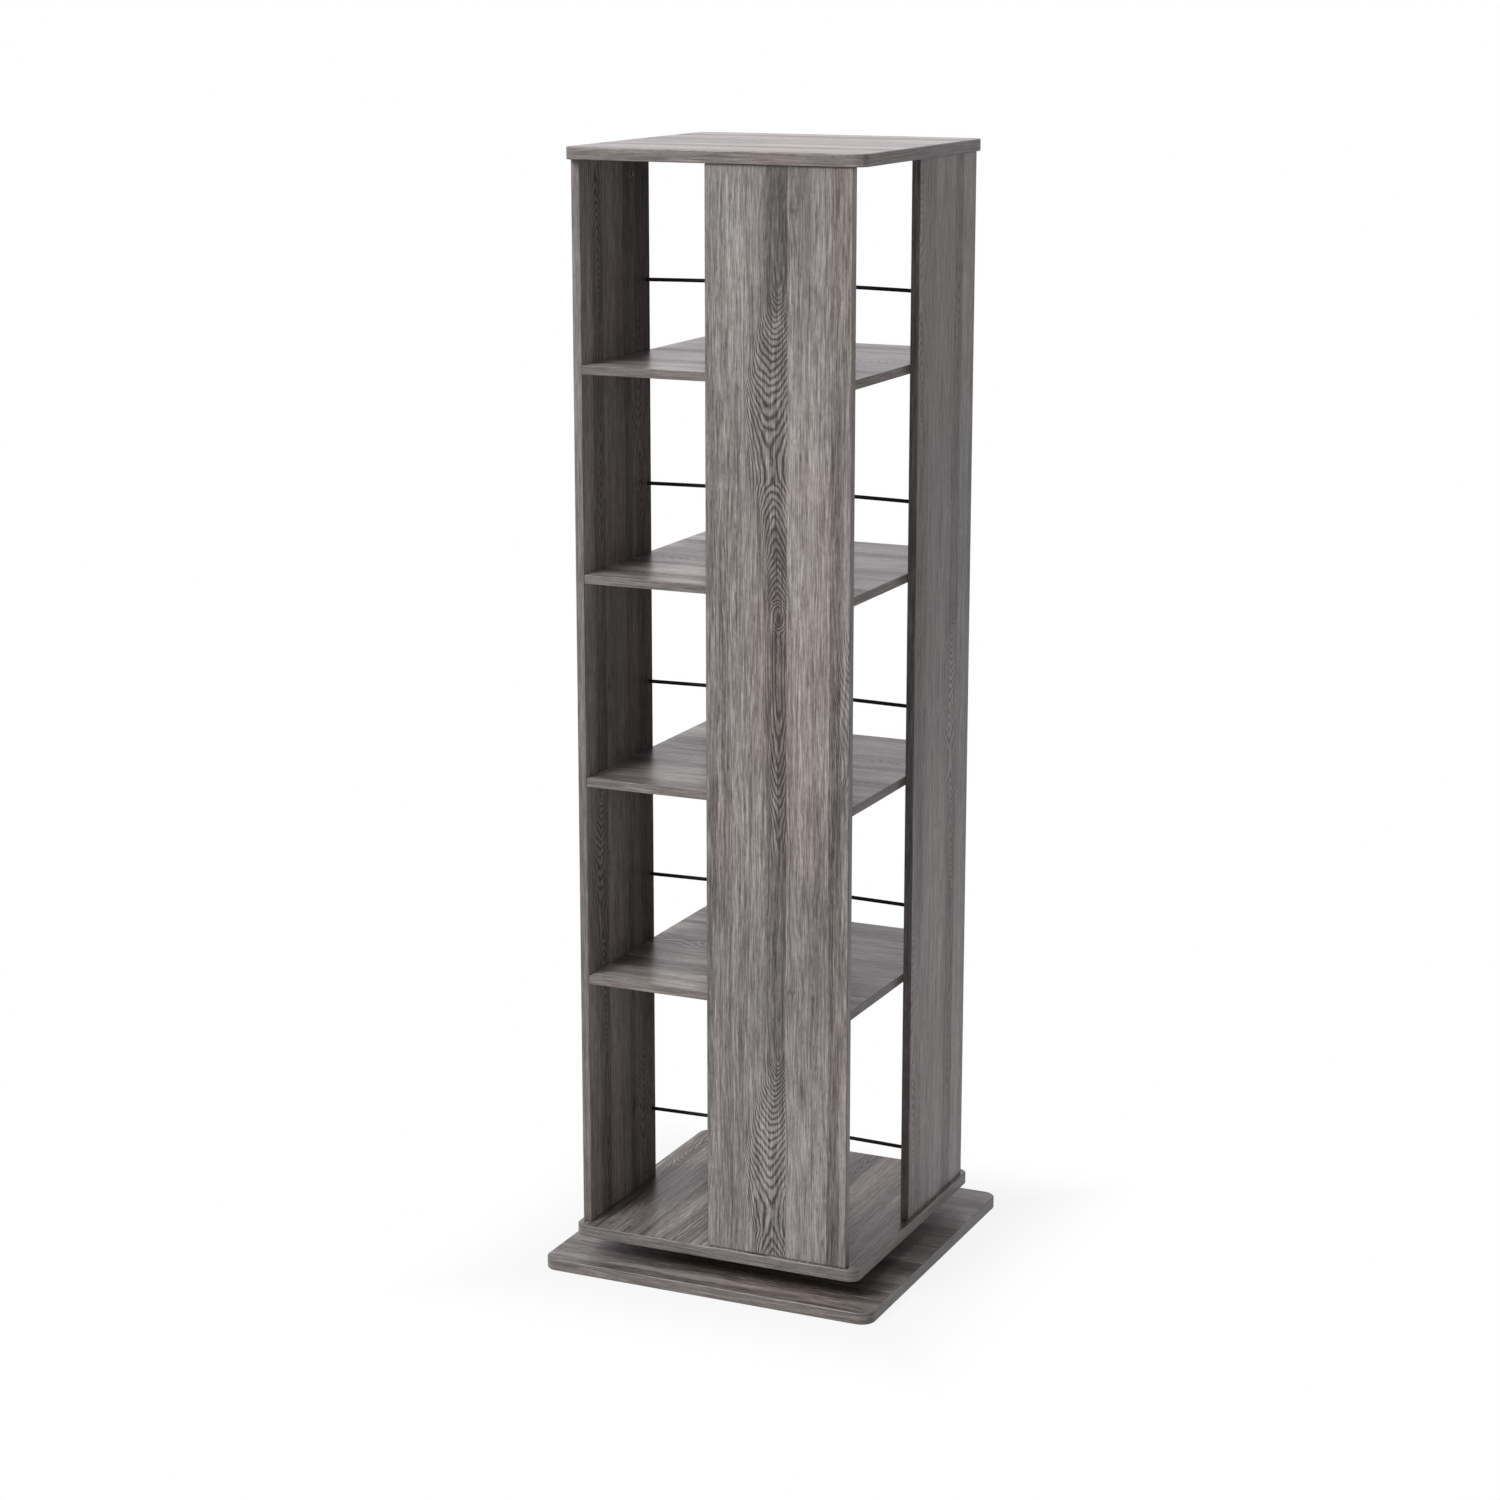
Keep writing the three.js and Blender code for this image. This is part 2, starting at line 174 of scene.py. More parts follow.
def reckoner(operation: str) -> Callable[["Wire", "Value"], "Wire"]:
    """A method that reckons with a wire and another value.

    Args:
        operation: The Math node's operation.

    Returns:
        The method.
    """
    def reckon(self: "Wire", other: "Value") -> "Wire":
        """Reckons with both values."""
        return self.sheet.math(operation, self, other)
    return reckon


@dataclass(frozen=True)
class Wire:
    """A value in a node tree that is reckoned with like a number."""

    sheet: "NodeSheet"
    socket: bpy.types.NodeSocket

    __add__ = __radd__ = reckoner("ADD")
    __sub__ = reckoner("SUBTRACT")
    __mul__ = __rmul__ = reckoner("MULTIPLY")
    __truediv__ = reckoner("DIVIDE")
    __pow__ = reckoner("POWER")
    most = reckoner("MAXIMUM")
    past = reckoner("GREATER_THAN")

    def __rsub__(self, other: float) -> "Wire":
        """A number less this value."""
        return self.sheet.math("SUBTRACT", other, self)

    def __abs__(self) -> "Wire":
        """The value without its sign."""
        return self.sheet.math("ABSOLUTE", self)

    def wrapped(self, length: float) -> "Wire":
        """The value within one repeat."""
        return self.sheet.math("WRAP", self, length, 0.0)

    def mapped(self, onto: Stretch) -> "Wire":
        """The value mapped by a stretch, and held at its ends."""
        numbers = (self, onto.low, onto.high, onto.start, onto.end)
        kind = "SMOOTHSTEP" if onto.smooth else "LINEAR"
        return self.sheet.wire("ShaderNodeMapRange", dict(enumerate(numbers)), interpolation_type=kind)


class NodeSheet:
    """A node tree with short calls for the nodes that finishes and pieces are drawn with."""

    def __init__(self, tree: Tree) -> None:
        """Takes the tree that the calls add nodes to."""
        self.tree = tree

    def fill(self, node: Node, inputs: Inputs) -> None:
        """Links wires into a node, or sets its values.

        Args:
            node: The node.
            inputs: Wires and values, by the name or number of the input.
        """
        for key, value in inputs.items():
            if isinstance(value, Wire):
                self.tree.links.new(value.socket, node.inputs[key])
            else:
                node.inputs[key].default_value = value

    def node(self, kind: str, inputs: Inputs | None = None, **settings: object) -> Node:
        """Adds a node.

        Args:
            kind: The node's type name.
            inputs: Wires and values, by the name or number of the input.
            **settings: Properties to set on it.

        Returns:
            The new node.
        """
        made = self.tree.nodes.new(kind)
        for name, value in settings.items():
            setattr(made, name, value)
        self.fill(made, inputs or {})
        return made

    def wire(self, kind: str, inputs: Inputs | None = None, output: str | int = 0,
             **settings: object) -> Wire:
        """Adds a node in the same way, and hands out the wire of one of its outputs."""
        return Wire(self, self.node(kind, inputs, **settings).outputs[output])

    def math(self, operation: str, *values: Value, clamp: bool = False) -> Wire:
        """Reckons with numbers and wires, and keeps the result between 0 and 1 if it is clamped."""
        return self.wire("ShaderNodeMath", dict(enumerate(values)), operation=operation, use_clamp=clamp)

    def place(self, *parts: Value) -> Wire:
        """Joins three numbers into a place."""
        return self.wire("ShaderNodeCombineXYZ", dict(enumerate(parts)))

    def parts(self, place: Wire) -> tuple[Wire, ...]:
        """Splits a place into its three numbers."""
        return tuple(Wire(self, part) for part in self.node("ShaderNodeSeparateXYZ", {0: place}).outputs)

    def spot(self) -> Wire:
        """The place in the object's own coordinates, in metres."""
        return self.wire("ShaderNodeTexCoord", output="Object")

    def ray(self, kind: str) -> Wire:
        """1 for rays of a kind, such as Camera, and 0 for others."""
        return self.wire("ShaderNodeLightPath", output=f"Is {kind} Ray")

    def noise(self, place: Wire, scale: float, detail: float = 2.0, rough: float = 0.5,
              output: str = "Fac") -> Wire:
        """Adds a noise about 0.5.

        Args:
            place: Where it is read.
            scale: Waves per unit of the place.
            detail: Number of finer layers.
            rough: Share of each finer layer.
            output: Fac for one value, or Color for three.

        Returns:
            The noise.
        """
        inputs = {"Vector": place, "Scale": scale, "Detail": detail, "Roughness": rough}
        return self.wire("ShaderNodeTexNoise", inputs, output)

    def ramp(self, value: Wire, stops: Stops) -> Wire:
        """Turns a value into a colour.

        Args:
            value: The value, 0 to 1.
            stops: Places and their linear colours.

        Returns:
            The colour.
        """
        made = self.node("ShaderNodeValToRGB", {0: value})
        marks = made.color_ramp.elements
        while len(marks) < len(stops):
            marks.new(0.5)
        for mark, (place, colour) in zip(marks, stops):
            mark.position = place
            mark.color = (*colour, 1.0)
        return Wire(self, made.outputs[0])

    def curve(self, value: Wire, points: Line) -> Wire:
        """Reads a curve.

        Args:
            value: Where it is read, 0 to 1.
            points: The points that it runs through, 0 to 1.

        Returns:
            The curve's value.
        """
        made = self.node("ShaderNodeFloatCurve", {"Value": value})
        marks = made.mapping.curves[0].points
        while len(marks) < len(points):
            marks.new(0.5, 0.5)
        for mark, point in zip(marks, points):
            mark.location = point
            mark.handle_type = "AUTO_CLAMPED"
        made.mapping.update()
        return Wire(self, made.outputs[0])

    def mix(self, share: Value, first: Value, second: Value, blend: str = "MIX") -> Wire:
        """Mixes two colours.

        Args:
            share: Share of the second.
            first: The first colour.
            second: The second colour.
            blend: How they are mixed.

        Returns:
            The mixed colour.
        """
        first, second = (c if isinstance(c, Wire) else (*c, 1.0) for c in (first, second))
        return self.wire("ShaderNodeMix", {0: share, 6: first, 7: second}, 2,
                         data_type="RGBA", blend_type=blend)

    def bump(self, height: Wire, relief: Relief) -> Wire:
        """The normal bumped by a height from 0 to 1."""
        return self.wire("ShaderNodeBump", {"Strength": relief.share, "Distance": relief.distance,
                                            "Height": height})


class GroupSheet(NodeSheet):
    """A node group with named inputs and outputs."""

    def __init__(self, name: str, kind: str, inputs: dict[str, str], outputs: dict[str, str]) -> None:
        """Makes the group.

        Args:
            name: The group's name.
            kind: What the group is for, Shader or Geometry.
            inputs: Kind of socket of each named input.
            outputs: Kind of socket of each named output.
        """
        super().__init__(bpy.data.node_groups.new(name, kind + "NodeTree"))
        for way, sockets in (("INPUT", inputs), ("OUTPUT", outputs)):
            for label, socket in sockets.items():
                self.tree.interface.new_socket(label, in_out=way, socket_type="NodeSocket" + socket)
        self.start = self.node("NodeGroupInput")
        self.end = self.node("NodeGroupOutput")

    @classmethod
    def geometry(cls, name: str, **inputs: str) -> "GroupSheet":
        """A geometry group with one geometry in and one out, and the kinds of its other inputs."""
        return cls(name, "Geometry", {"Geometry": "Geometry"} | inputs, {"Geometry": "Geometry"})

    def given(self, label: str) -> Wire:
        """The wire of a named input."""
        return Wire(self, self.start.outputs[label])

    def coat(self, geometry: Wire, finish: Value, chosen: Value = True) -> Tree:
        """Ends a geometry group with real geometry in its finish.

        Args:
            geometry: What the group has drawn.
            finish: The material.
            chosen: The faces that it goes on.

        Returns:
            The group's tree.
        """
        real = self.wire("GeometryNodeRealizeInstances", {0: geometry})
        inputs = {"Geometry": real, "Selection": chosen, "Material": finish}
        self.fill(self.end, {"Geometry": self.wire("GeometryNodeSetMaterial", inputs)})
        return self.tree


@dataclass(frozen=True)
class Paper:
    """A place on the printed paper, in millimetres across and along the grain."""

    across: Wire
    along: Wire

    @classmethod
    def at(cls, place: Wire) -> "Paper":
        """Takes a place in metres."""
        across, along, _ = place.sheet.parts(place)
        return cls(across * (1 / MM), along * (1 / MM))

    def streaks(self, grain: Grain) -> Wire:
        """A grain's noise, about 0.5."""
        sheet = self.across.sheet
        place = sheet.place(self.across / grain.wide, self.along / grain.long, grain.seed)
        return sheet.noise(place, 1.0, grain.detail, grain.rough)


class Finish:
    """A surface finish that makes its material once and hands it out."""

    name: str

    def draw(self, sheet: NodeSheet) -> Inputs:
        """Draws the finish; each finish has its own.

        Args:
            sheet: The material's tree.

        Returns:
            What goes into the named inputs of the surface shader.
        """
        raise NotImplementedError

    def material(self) -> bpy.types.Material:
        """The finish's material, made on first use."""
        made = bpy.data.materials.get(self.name)
        if made is None:
            made = bpy.data.materials.new(self.name)
            made.use_nodes = True
            sheet = NodeSheet(made.node_tree)
            sheet.fill(made.node_tree.nodes["Principled BSDF"], self.draw(sheet))
        return made


@dataclass(frozen=True)
class Knot:
    """A small knot in the print: its middle and its half widths, in millimetres, and how dark it is."""

    across: float
    along: float
    half_across: float
    half_along: float
    dark: float


@dataclass(frozen=True)
class OakPrint:
    """The printed oak decor: planks side by side, with arched figure, streaks, strokes and pores.

    Lengths are millimetres on the paper. The curves give, for shares of one repeat along the grain, how
    many growth rings are cut through, how wide the figure is, how clear it is and how rosy the wood.
    """

    name: str = "oak print"
    repeat_across: float = 250.0
    repeat_along: float = 1002.0
    first_joint: float = 113.0
    second_joint: float = 172.0
    far_joint: float = 236.0
    plank_step: float = 370.0
    most_rings: float = 24.0
    widest: float = 58.0
    heart_share: float = 0.40
    heart_sway: float = 0.35
    flank_power: float = 1.35
    flank_share: float = 0.235
    crowd_share: float = 0.50
    crowd_power: float = 5.0
    knots: tuple[Knot, ...] = (Knot(121.0, 427.0, 7.0, 4.5, 0.17), Knot(152.0, 424.0, 2.5, 5.0, 0.15),
                               Knot(104.0, 917.0, 4.0, 10.0, 0.34), Knot(42.0, 30.0, 2.5, 4.0, 0.20))
    knot_edge: float = 1.9
    knot_core: float = 0.6
    knot_part: float = 0.8
    knot_trail: float = 4.0
    ring_shares: Line = (
        (0.0, 0.57), (0.045, 0.70), (0.080, 0.83), (0.100, 0.88), (0.118, 0.885), (0.142, 0.855),
        (0.168, 0.79), (0.198, 0.70), (0.228, 0.585), (0.258, 0.46), (0.288, 0.305), (0.312, 0.16),
        (0.338, 0.03), (0.365, 0.0), (0.45, 0.0), (0.58, 0.65), (0.615, 0.633), (0.700, 0.443),
        (0.780, 0.285), (0.810, 0.261), (0.895, 0.269), (0.916, 0.158), (0.940, 0.285), (0.985, 0.507),
        (1.0, 0.57),
    )
    width_shares: Line = (
        (0.0, 0.62), (0.045, 0.72), (0.09, 0.86), (0.140, 0.98), (0.190, 1.0), (0.235, 0.93),
        (0.290, 0.72), (0.345, 0.50), (0.60, 0.50), (0.90, 0.50), (0.96, 0.58), (1.0, 0.62),
    )
    clear_shares: Line = (
        (0.0, 1.0), (0.20, 1.0), (0.30, 0.85), (0.345, 0.25), (0.40, 0.0), (0.58, 0.0), (0.625, 0.85),
        (0.70, 1.0), (1.0, 1.0),
    )
    rosy_shares: Line = (
        (0.0, 0.75), (0.10, 0.55), (0.22, 0.40), (0.32, 0.35), (0.39, 0.12), (0.50, 0.10), (0.60, 0.70),
        (0.75, 0.95), (0.90, 0.90), (1.0, 0.75),
    )
    tones: Stops = (
        (0.0, linear(174, 170, 168)), (0.27, linear(141, 136, 134)), (0.50, linear(111, 106, 104)),
        (0.76, linear(75, 70, 68)), (1.0, linear(39, 36, 34)),
    )
    rosy: Colour = linear(202, 181, 176)
    mossy: Colour = linear(181, 187, 180)
    sway: Grain = Grain(70.0, 330.0, 1.3, weight=16.0)
    ripple: Grain = Grain(16.0, 75.0, 4.1, weight=4.0)
    washes: tuple[Grain, ...] = (Grain(26.0, 640.0, 7.7, weight=0.09),
                                 Grain(4.2, 300.0, 12.2, weight=0.10),
                                 Grain(1.1, 26.0, 23.4, rough=0.6, weight=0.17))
    clouds: tuple[Grain, ...] = (Grain(4.0, 9.0, 71.3, low=0.33, high=0.67, weight=0.04),
                                 Grain(40.0, 190.0, 37.3, 3.0, 0.6, 0.32, 0.68, 0.05))
    strokes: Grain = Grain(2.0, 64.0, 17.9, rough=0.6, low=0.33, high=0.67, weight=0.15)
    pores: Grain = Grain(0.8, 7.5, 31.6, 1.0, low=0.58, high=0.68, weight=0.14)
    hues: Grain = Grain(60.0, 190.0, 43.8, 3.0)
    fray: Grain = Grain(3.0, 7.0, 83.0)
    slow_waver: Grain = Grain(22.0, 60.0, 51.2, 1.0, weight=1.7)
    quick_waver: Grain = Grain(7.0, 12.0, 57.9, 1.0, weight=0.55)
    broken: Stretch = Stretch(0.30, 0.62, 0.55, 1.1)
    near_heart: Stretch = Stretch(0.74, 0.56, smooth=True)
    by_joint: Stretch = Stretch(-36.0, -24.0, smooth=True)
    narrowed: Stretch = Stretch(0.95, 0.55, 0.25, 1.0)
    dark_run: Stretch = Stretch(22.0, 13.2, 0.0, 0.14, smooth=True)
    dark_start: Stretch = Stretch(16.0, 6.0, 0.0, 0.05, smooth=True)
    rosy_patches: Stretch = Stretch(0.34, 0.62, 0.15, 0.55)
    mossy_patches: Stretch = Stretch(0.52, 0.36, 0.0, 0.45)
    roughness: Stretch = Stretch(0.0, 1.0, 0.27, 0.38)
    ring_dark: float = 0.60
    heart_light: float = 0.12
    streak_dark: float = 0.23
    second_light: float = 0.045
    all_light: float = 0.06
    third_faint: float = 0.45
    ring_sharpness: float = 2.2

    def group(self) -> Tree:
        """The print as a node group from a place on the paper to colour, roughness and height."""
        made = bpy.data.node_groups.get(self.name)
        if made is not None:
            return made
        sheet = GroupSheet(self.name, "Shader", {"Place": "Vector"},
                           {"Color": "Color", "Roughness": "Float", "Height": "Float"})
        sheet.fill(sheet.end, dict(enumerate(self.figure(Paper.at(sheet.given("Place"))))))
        return sheet.tree

    def figure(self, paper: Paper) -> tuple[Wire, Wire, Wire]:
        """Draws the figure of the wood.

        Args:
            paper: The place on the paper.

        Returns:
            Colour, roughness and height.
        """
        sheet = paper.across.sheet
        sway, ripple = ((paper.streaks(g) - 0.5) * g.weight for g in (self.sway, self.ripple))
        strip = paper.across.wrapped(self.repeat_across)
        spots, parted = self.knotted(Paper(strip, paper.along))
        bent = Paper(paper.across + (ripple + sway) - parted, paper.along)
        third = strip.past(self.second_joint)
        second = strip.past(self.first_joint) - third
        rings, near, streak, rosiness = self.arches(paper, strip, ripple + sway, second, third)

        strokes = bent.streaks(self.strokes)
        tone = strokes.mapped(self.strokes.swing) + 0.5
        for place, grains in ((bent, self.washes), (paper, self.clouds)):
            for grain in grains:
                tone += place.streaks(grain).mapped(grain.swing)
        tone += bent.streaks(self.pores).mapped(self.pores.darkening)
        tone += rings * near * strokes.mapped(self.broken) * self.ring_dark
        tone += streak * self.streak_dark - near * self.heart_light - second * self.second_light
        tone += (strip - self.second_joint).mapped(self.dark_run) * third
        tone += strip.mapped(self.dark_start) + spots
        tone = sheet.math("SUBTRACT", tone, self.all_light, clamp=True)

        colour = sheet.ramp(tone, self.tones)
        hue = paper.streaks(self.hues)
        gain = 1.0
        for share, tint in ((hue.mapped(self.rosy_patches) * rosiness, self.rosy),
                            (hue.mapped(self.mossy_patches), self.mossy)):
            colour = sheet.mix(share, colour, tint, "MULTIPLY")
            gain = (share * (1 / tint[1] - 1) + 1.0) * gain
        # The gain lifts the tinted wood back to the brightness that it had before.
        colour = sheet.wire("ShaderNodeVectorMath", {"Vector": colour, "Scale": gain}, operation="SCALE")
        return colour, tone.mapped(self.roughness), sheet.math("SUBTRACT", 1.0, tone, clamp=True)

    def knotted(self, strip: Paper) -> tuple[Wire, Wire]:
        """Draws the small knots.

        Args:
            strip: The place within one repeat across.

        Returns:
            The knots' darkness, frayed at their edges, and how far they part the grain to the sides.
        """
        run = strip.along.wrapped(self.repeat_along)
        fray = strip.streaks(self.fray)
        dark = parted = 0.0
        for knot in self.knots:
            side = (strip.across - knot.across) / knot.half_across
            rise = (run - knot.along) / knot.half_along
            reach = (side * side + rise * rise) ** 0.5 + fray
            spot = reach.mapped(Stretch(self.knot_edge, self.knot_core, 0.0, knot.dark, smooth=True))
            dark = spot.most(dark)
            trail = rise / self.knot_trail
            parted += side * (knot.half_across * self.knot_part) / (side * side + trail * trail + 1.0)
        return dark, parted

    def arches(self, paper: Paper, strip: Wire, shift: Wire, second: Wire,
               third: Wire) -> tuple[Wire, Wire, Wire, Wire]:
        """Draws the growth rings, which arch where the saw ran close to the heart of the tree.

        Args:
            paper: The place on the paper.
            strip: Distance across within one repeat of the print.
            shift: How far the grain sways to one side.
            second: 1 on the second plank.
            third: 1 on the third plank.

        Returns:
            The rings' darkness, how near a place is to the heart, the dark streak and the rosiness.
        """
        sheet = strip.sheet
        run = (third * self.plank_step + paper.along).wrapped(self.repeat_along) / self.repeat_along
        width = sheet.curve(run, self.width_shares)
        wide = width * self.widest
        joint = third * (self.far_joint - self.first_joint) + self.first_joint
        swayed = shift * self.heart_sway + strip
        off = abs(swayed - (joint - wide * self.heart_share))
        flank = (off / (wide * self.flank_share)) ** self.flank_power
        crowd = (off / wide / self.crowd_share) ** self.crowd_power
        count = sheet.curve(run, self.ring_shares) * self.most_rings
        slow, quick = (paper.streaks(g) * g.weight for g in (self.slow_waver, self.quick_waver))
        wave = sheet.math("COSINE", (count + (flank + crowd) + (slow + quick)) * (2 * math.pi))
        dark = (wave * 0.5 + 0.5) ** self.ring_sharpness
        clear = sheet.curve(run, self.clear_shares) * (1.0 - third * self.third_faint)
        near = (off / wide).mapped(self.near_heart) * (1.0 - second) * clear
        streak = (swayed - joint).mapped(self.by_joint) * width.mapped(self.narrowed) * (1.0 - second)
        return dark, near, streak, sheet.curve(run, self.rosy_shares)


@dataclass(frozen=True)
class OakLaminate(Finish):
    """Semi-gloss laminate with the printed oak and a light emboss along the grain."""

    name: str = "grey oak laminate"
    decor: OakPrint = OakPrint()
    emboss: Relief = Relief(0.00018, 0.30)
    gloss: float = 0.62

    def draw(self, sheet: NodeSheet) -> Inputs:
        """Draws the print from the board's print map."""
        place = sheet.wire("ShaderNodeUVMap", output="UV", uv_map=PRINT_MAP)
        decor = sheet.node("ShaderNodeGroup", node_tree=self.decor.group())
        sheet.fill(decor, {"Place": place})
        colour, rough, height = (Wire(sheet, socket) for socket in decor.outputs)
        return {"Base Color": self.toned(colour, place), "Roughness": rough,
                "Specular IOR Level": self.gloss, "Normal": sheet.bump(height, self.emboss)}

    def toned(self, colour: Wire, place: Wire) -> Wire:
        """The colour of the print, which a face keeps."""
        return colour


@dataclass(frozen=True)
class EdgeBand(OakLaminate):
    """The band glued round a board's edge: the same decor, scuffed with short dark marks."""

    name: str = "oak edge band"
    emboss: Relief = Relief(0.0002, 0.35)
    gloss: float = 0.5
    plain: Colour = linear(92, 88, 85)
    plain_share: float = 0.50
    scuff: Colour = linear(62, 58, 55)
    rub: Colour = linear(142, 138, 135)
    lines: Grain = Grain(1.5, 110.0, 61.0, rough=0.6, low=0.54, high=0.66, weight=0.62)
    scuffs: Grain = Grain(1.8, 11.0, 67.0, 3.0, 0.6, 0.60, 0.68, 0.50)
    rubbed: Stretch = Stretch(0.42, 0.32, 0.0, 0.45)

    def toned(self, colour: Wire, place: Wire) -> Wire:
        """The colour of the print, made plainer, rubbed and scuffed.

        Args:
            colour: The print's colour.
            place: The place on the print map.

        Returns:
            The band's colour.
        """
        sheet = colour.sheet
        paper = Paper.at(place)
        lines, scuffs = paper.streaks(self.lines), paper.streaks(self.scuffs)
        dark = lines.mapped(self.lines.darkening).most(scuffs.mapped(self.scuffs.darkening))
        colour = sheet.mix(self.plain_share, colour, self.plain)
        colour = sheet.mix(lines.mapped(self.rubbed), colour, self.rub)
        return sheet.mix(dark, colour, self.scuff)


@dataclass(frozen=True)
class Clouded(Finish):
    """A finish of two tones that drift into each other in patches, with a fine peel if it has one."""

    name: str
    first: Colour
    second: Colour
    scale: float
    patches: Stretch
    rough: tuple[float, float]
    metal: float = 0.0
    gloss: float = 0.5
    detail: float = 3.0
    peel_scale: float = 0.0
    peel: Relief = Relief(0.00012, 0.30)

    def draw(self, sheet: NodeSheet) -> Inputs:
        """Draws the patches, which also set the gloss where it drifts."""
        spot = sheet.spot()
        share = sheet.noise(spot, self.scale, self.detail).mapped(self.patches)
        low, high = self.rough
        drawn = {"Base Color": sheet.mix(share, self.first, self.second), "Metallic": self.metal,
                 "Roughness": share.mapped(Stretch(0.0, 1.0, low, high)) if high > low else low,
                 "Specular IOR Level": self.gloss}
        if self.peel_scale:
            drawn["Normal"] = sheet.bump(sheet.noise(spot, self.peel_scale), self.peel)
        return drawn


@dataclass(frozen=True)
class RawChipboard(Finish):
    """Sawn or drilled particle board: pale flakes of wood pressed at all angles."""

    name: str = "raw chipboard"
    tones: Stops = (
        (0.0, linear(82, 62, 45)), (0.25, linear(122, 98, 70)), (0.75, linear(178, 152, 116)),
    )
    bark: Colour = linear(82, 62, 45)
    flake_scale: float = 430.0
    bend_scale: float = 420.0
    bend: float = 2.0 * MM
    gaps: Stretch = Stretch(0.35, 0.75)
    gap_dark: float = 0.55
    rough: float = 0.85
    relief: Relief = Relief(0.0004, 0.6)

    def draw(self, sheet: NodeSheet) -> Inputs:
        """Draws the flakes and the dark gaps between them."""
        spot = sheet.spot()
        bend = sheet.noise(spot, self.bend_scale, output="Color")
        spot = sheet.wire("ShaderNodeVectorMath", {0: bend, 1: (self.bend,) * 3, 2: spot},
                          operation="MULTIPLY_ADD")
        flakes = sheet.node("ShaderNodeTexVoronoi", {"Vector": spot, "Scale": self.flake_scale})
        colour = sheet.ramp(sheet.parts(Wire(sheet, flakes.outputs["Color"]))[0], self.tones)
        gaps = Wire(sheet, flakes.outputs["Distance"]).mapped(self.gaps)
        colour = sheet.mix(gaps * self.gap_dark, colour, self.bark)
        return {"Base Color": colour, "Roughness": self.rough,
                "Normal": sheet.bump(1.0 - gaps, self.relief)}


@dataclass(frozen=True)
class ZincPlating(Finish):
    """Zinc-plated steel, pressed or cast, with faint cloudy spangle and rubbing marks."""

    name: str = "zinc plating"
    bright: Colour = linear(196, 199, 203)
    dull: Colour = linear(142, 146, 152)
    cloud_scale: float = 60.0
    cloud_detail: float = 4.0
    cloud_rough: float = 0.6
    spangle: Stretch = Stretch(0.35, 0.68)
    rough: Stretch = Stretch(0.3, 0.7, 0.26, 0.44)
    rub_scales: tuple[float, float, float] = (900.0, 60.0, 300.0)
    rub: Relief = Relief(0.00008, 0.25)

    def draw(self, sheet: NodeSheet) -> Inputs:
        """Draws the plating."""
        spot = sheet.spot()
        cloud = sheet.noise(spot, self.cloud_scale, self.cloud_detail, self.cloud_rough)
        marks = sheet.place(*(part * scale for part, scale in zip(sheet.parts(spot), self.rub_scales)))
        colour = sheet.mix(cloud.mapped(self.spangle), self.bright, self.dull)
        return {"Base Color": colour, "Metallic": 1.0, "Roughness": cloud.mapped(self.rough),
                "Normal": sheet.bump(sheet.noise(marks, 1.0), self.rub)}


OAK = OakLaminate()
BAND = EdgeBand()
CHIPBOARD = RawChipboard()
ZINC = ZincPlating()
# The hairline of dusty glue between a laminate face and its edge band.
SEAM = Clouded("glue seam", linear(70, 62, 56), linear(104, 95, 88), 260.0, Stretch(0.40, 0.62),
               (0.55, 0.75))
# Black powder coat on steel rod, with its fine orange peel.
ROD_PAINT = Clouded("black rod paint", linear(18, 18, 20), linear(30, 30, 32), 35.0, Stretch(0.40, 0.66),
                    (0.42, 0.54), gloss=0.35, peel_scale=900.0)
# Painted shade in the hollow of a cast cam or a screw's recess, where the plating is also thin.
HOLLOW_PAINTED_SHADE = Clouded("cam hollow", linear(44, 44, 47), linear(84, 85, 89), 700.0, Stretch(0.35, 0.65),
                 (0.5, 0.5), metal=0.8)
BOARD_FINISHES = (OAK, BAND, SEAM)


def shown(name: str, data: bpy.types.ID) -> Piece:
    """Adds a mesh, a lamp or a camera to the scene as an object at the origin."""
    made = bpy.data.objects.new(name, data)
    bpy.context.scene.collection.objects.link(made)
    return made


def meshed(name: str, made: bmesh.types.BMesh, *finishes: Finish) -> Mesh:
    """Turns a finished bmesh into a mesh.

    Args:
        name: The mesh's name.
        made: The bmesh, which is freed.
        *finishes: The finishes of its material slots.

    Returns:
        The mesh.
    """
    mesh = bpy.data.meshes.new(name)
    made.to_mesh(mesh)
    made.free()
    for finish in finishes:
        mesh.materials.append(finish.material())
    return mesh


def dress(piece: Piece, body: str, nodes: Sequence[str]) -> None:
    """Lets a piece stand for its CAD nodes and move with its body.

    Args:
        piece: The finished piece.
        body: The CAD body it rides on.
        nodes: The CAD nodes it stands for.
    """
    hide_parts(*nodes)
    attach(piece, body)
    LOG.info("%s: %d faces, on %s, for %s", piece.name, len(piece.data.polygons), body, ", ".join(nodes))


def coated(node: str, finish: Finish) -> Piece:
    """Shows a CAD node as it is, in a finish.

    Args:
        node: The node's name.
        finish: Its finish.

    Returns:
        The node's object.
    """
    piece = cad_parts[node]
    piece.data.materials.clear()
    piece.data.materials.append(finish.material())
    LOG.info("%s: shown as it is in the CAD model", node)
    return piece


def applied(piece: Piece) -> Piece:
    """Turns a piece with modifiers into a plain mesh.

    Args:
        piece: The piece.

    Returns:
        The same piece, with the modifiers' result as its mesh and no modifiers.
    """
    graph = bpy.context.evaluated_depsgraph_get()
    made = bpy.data.meshes.new_from_object(piece.evaluated_get(graph), depsgraph=graph)
    piece.modifiers.clear()
    piece.data = made
    return piece


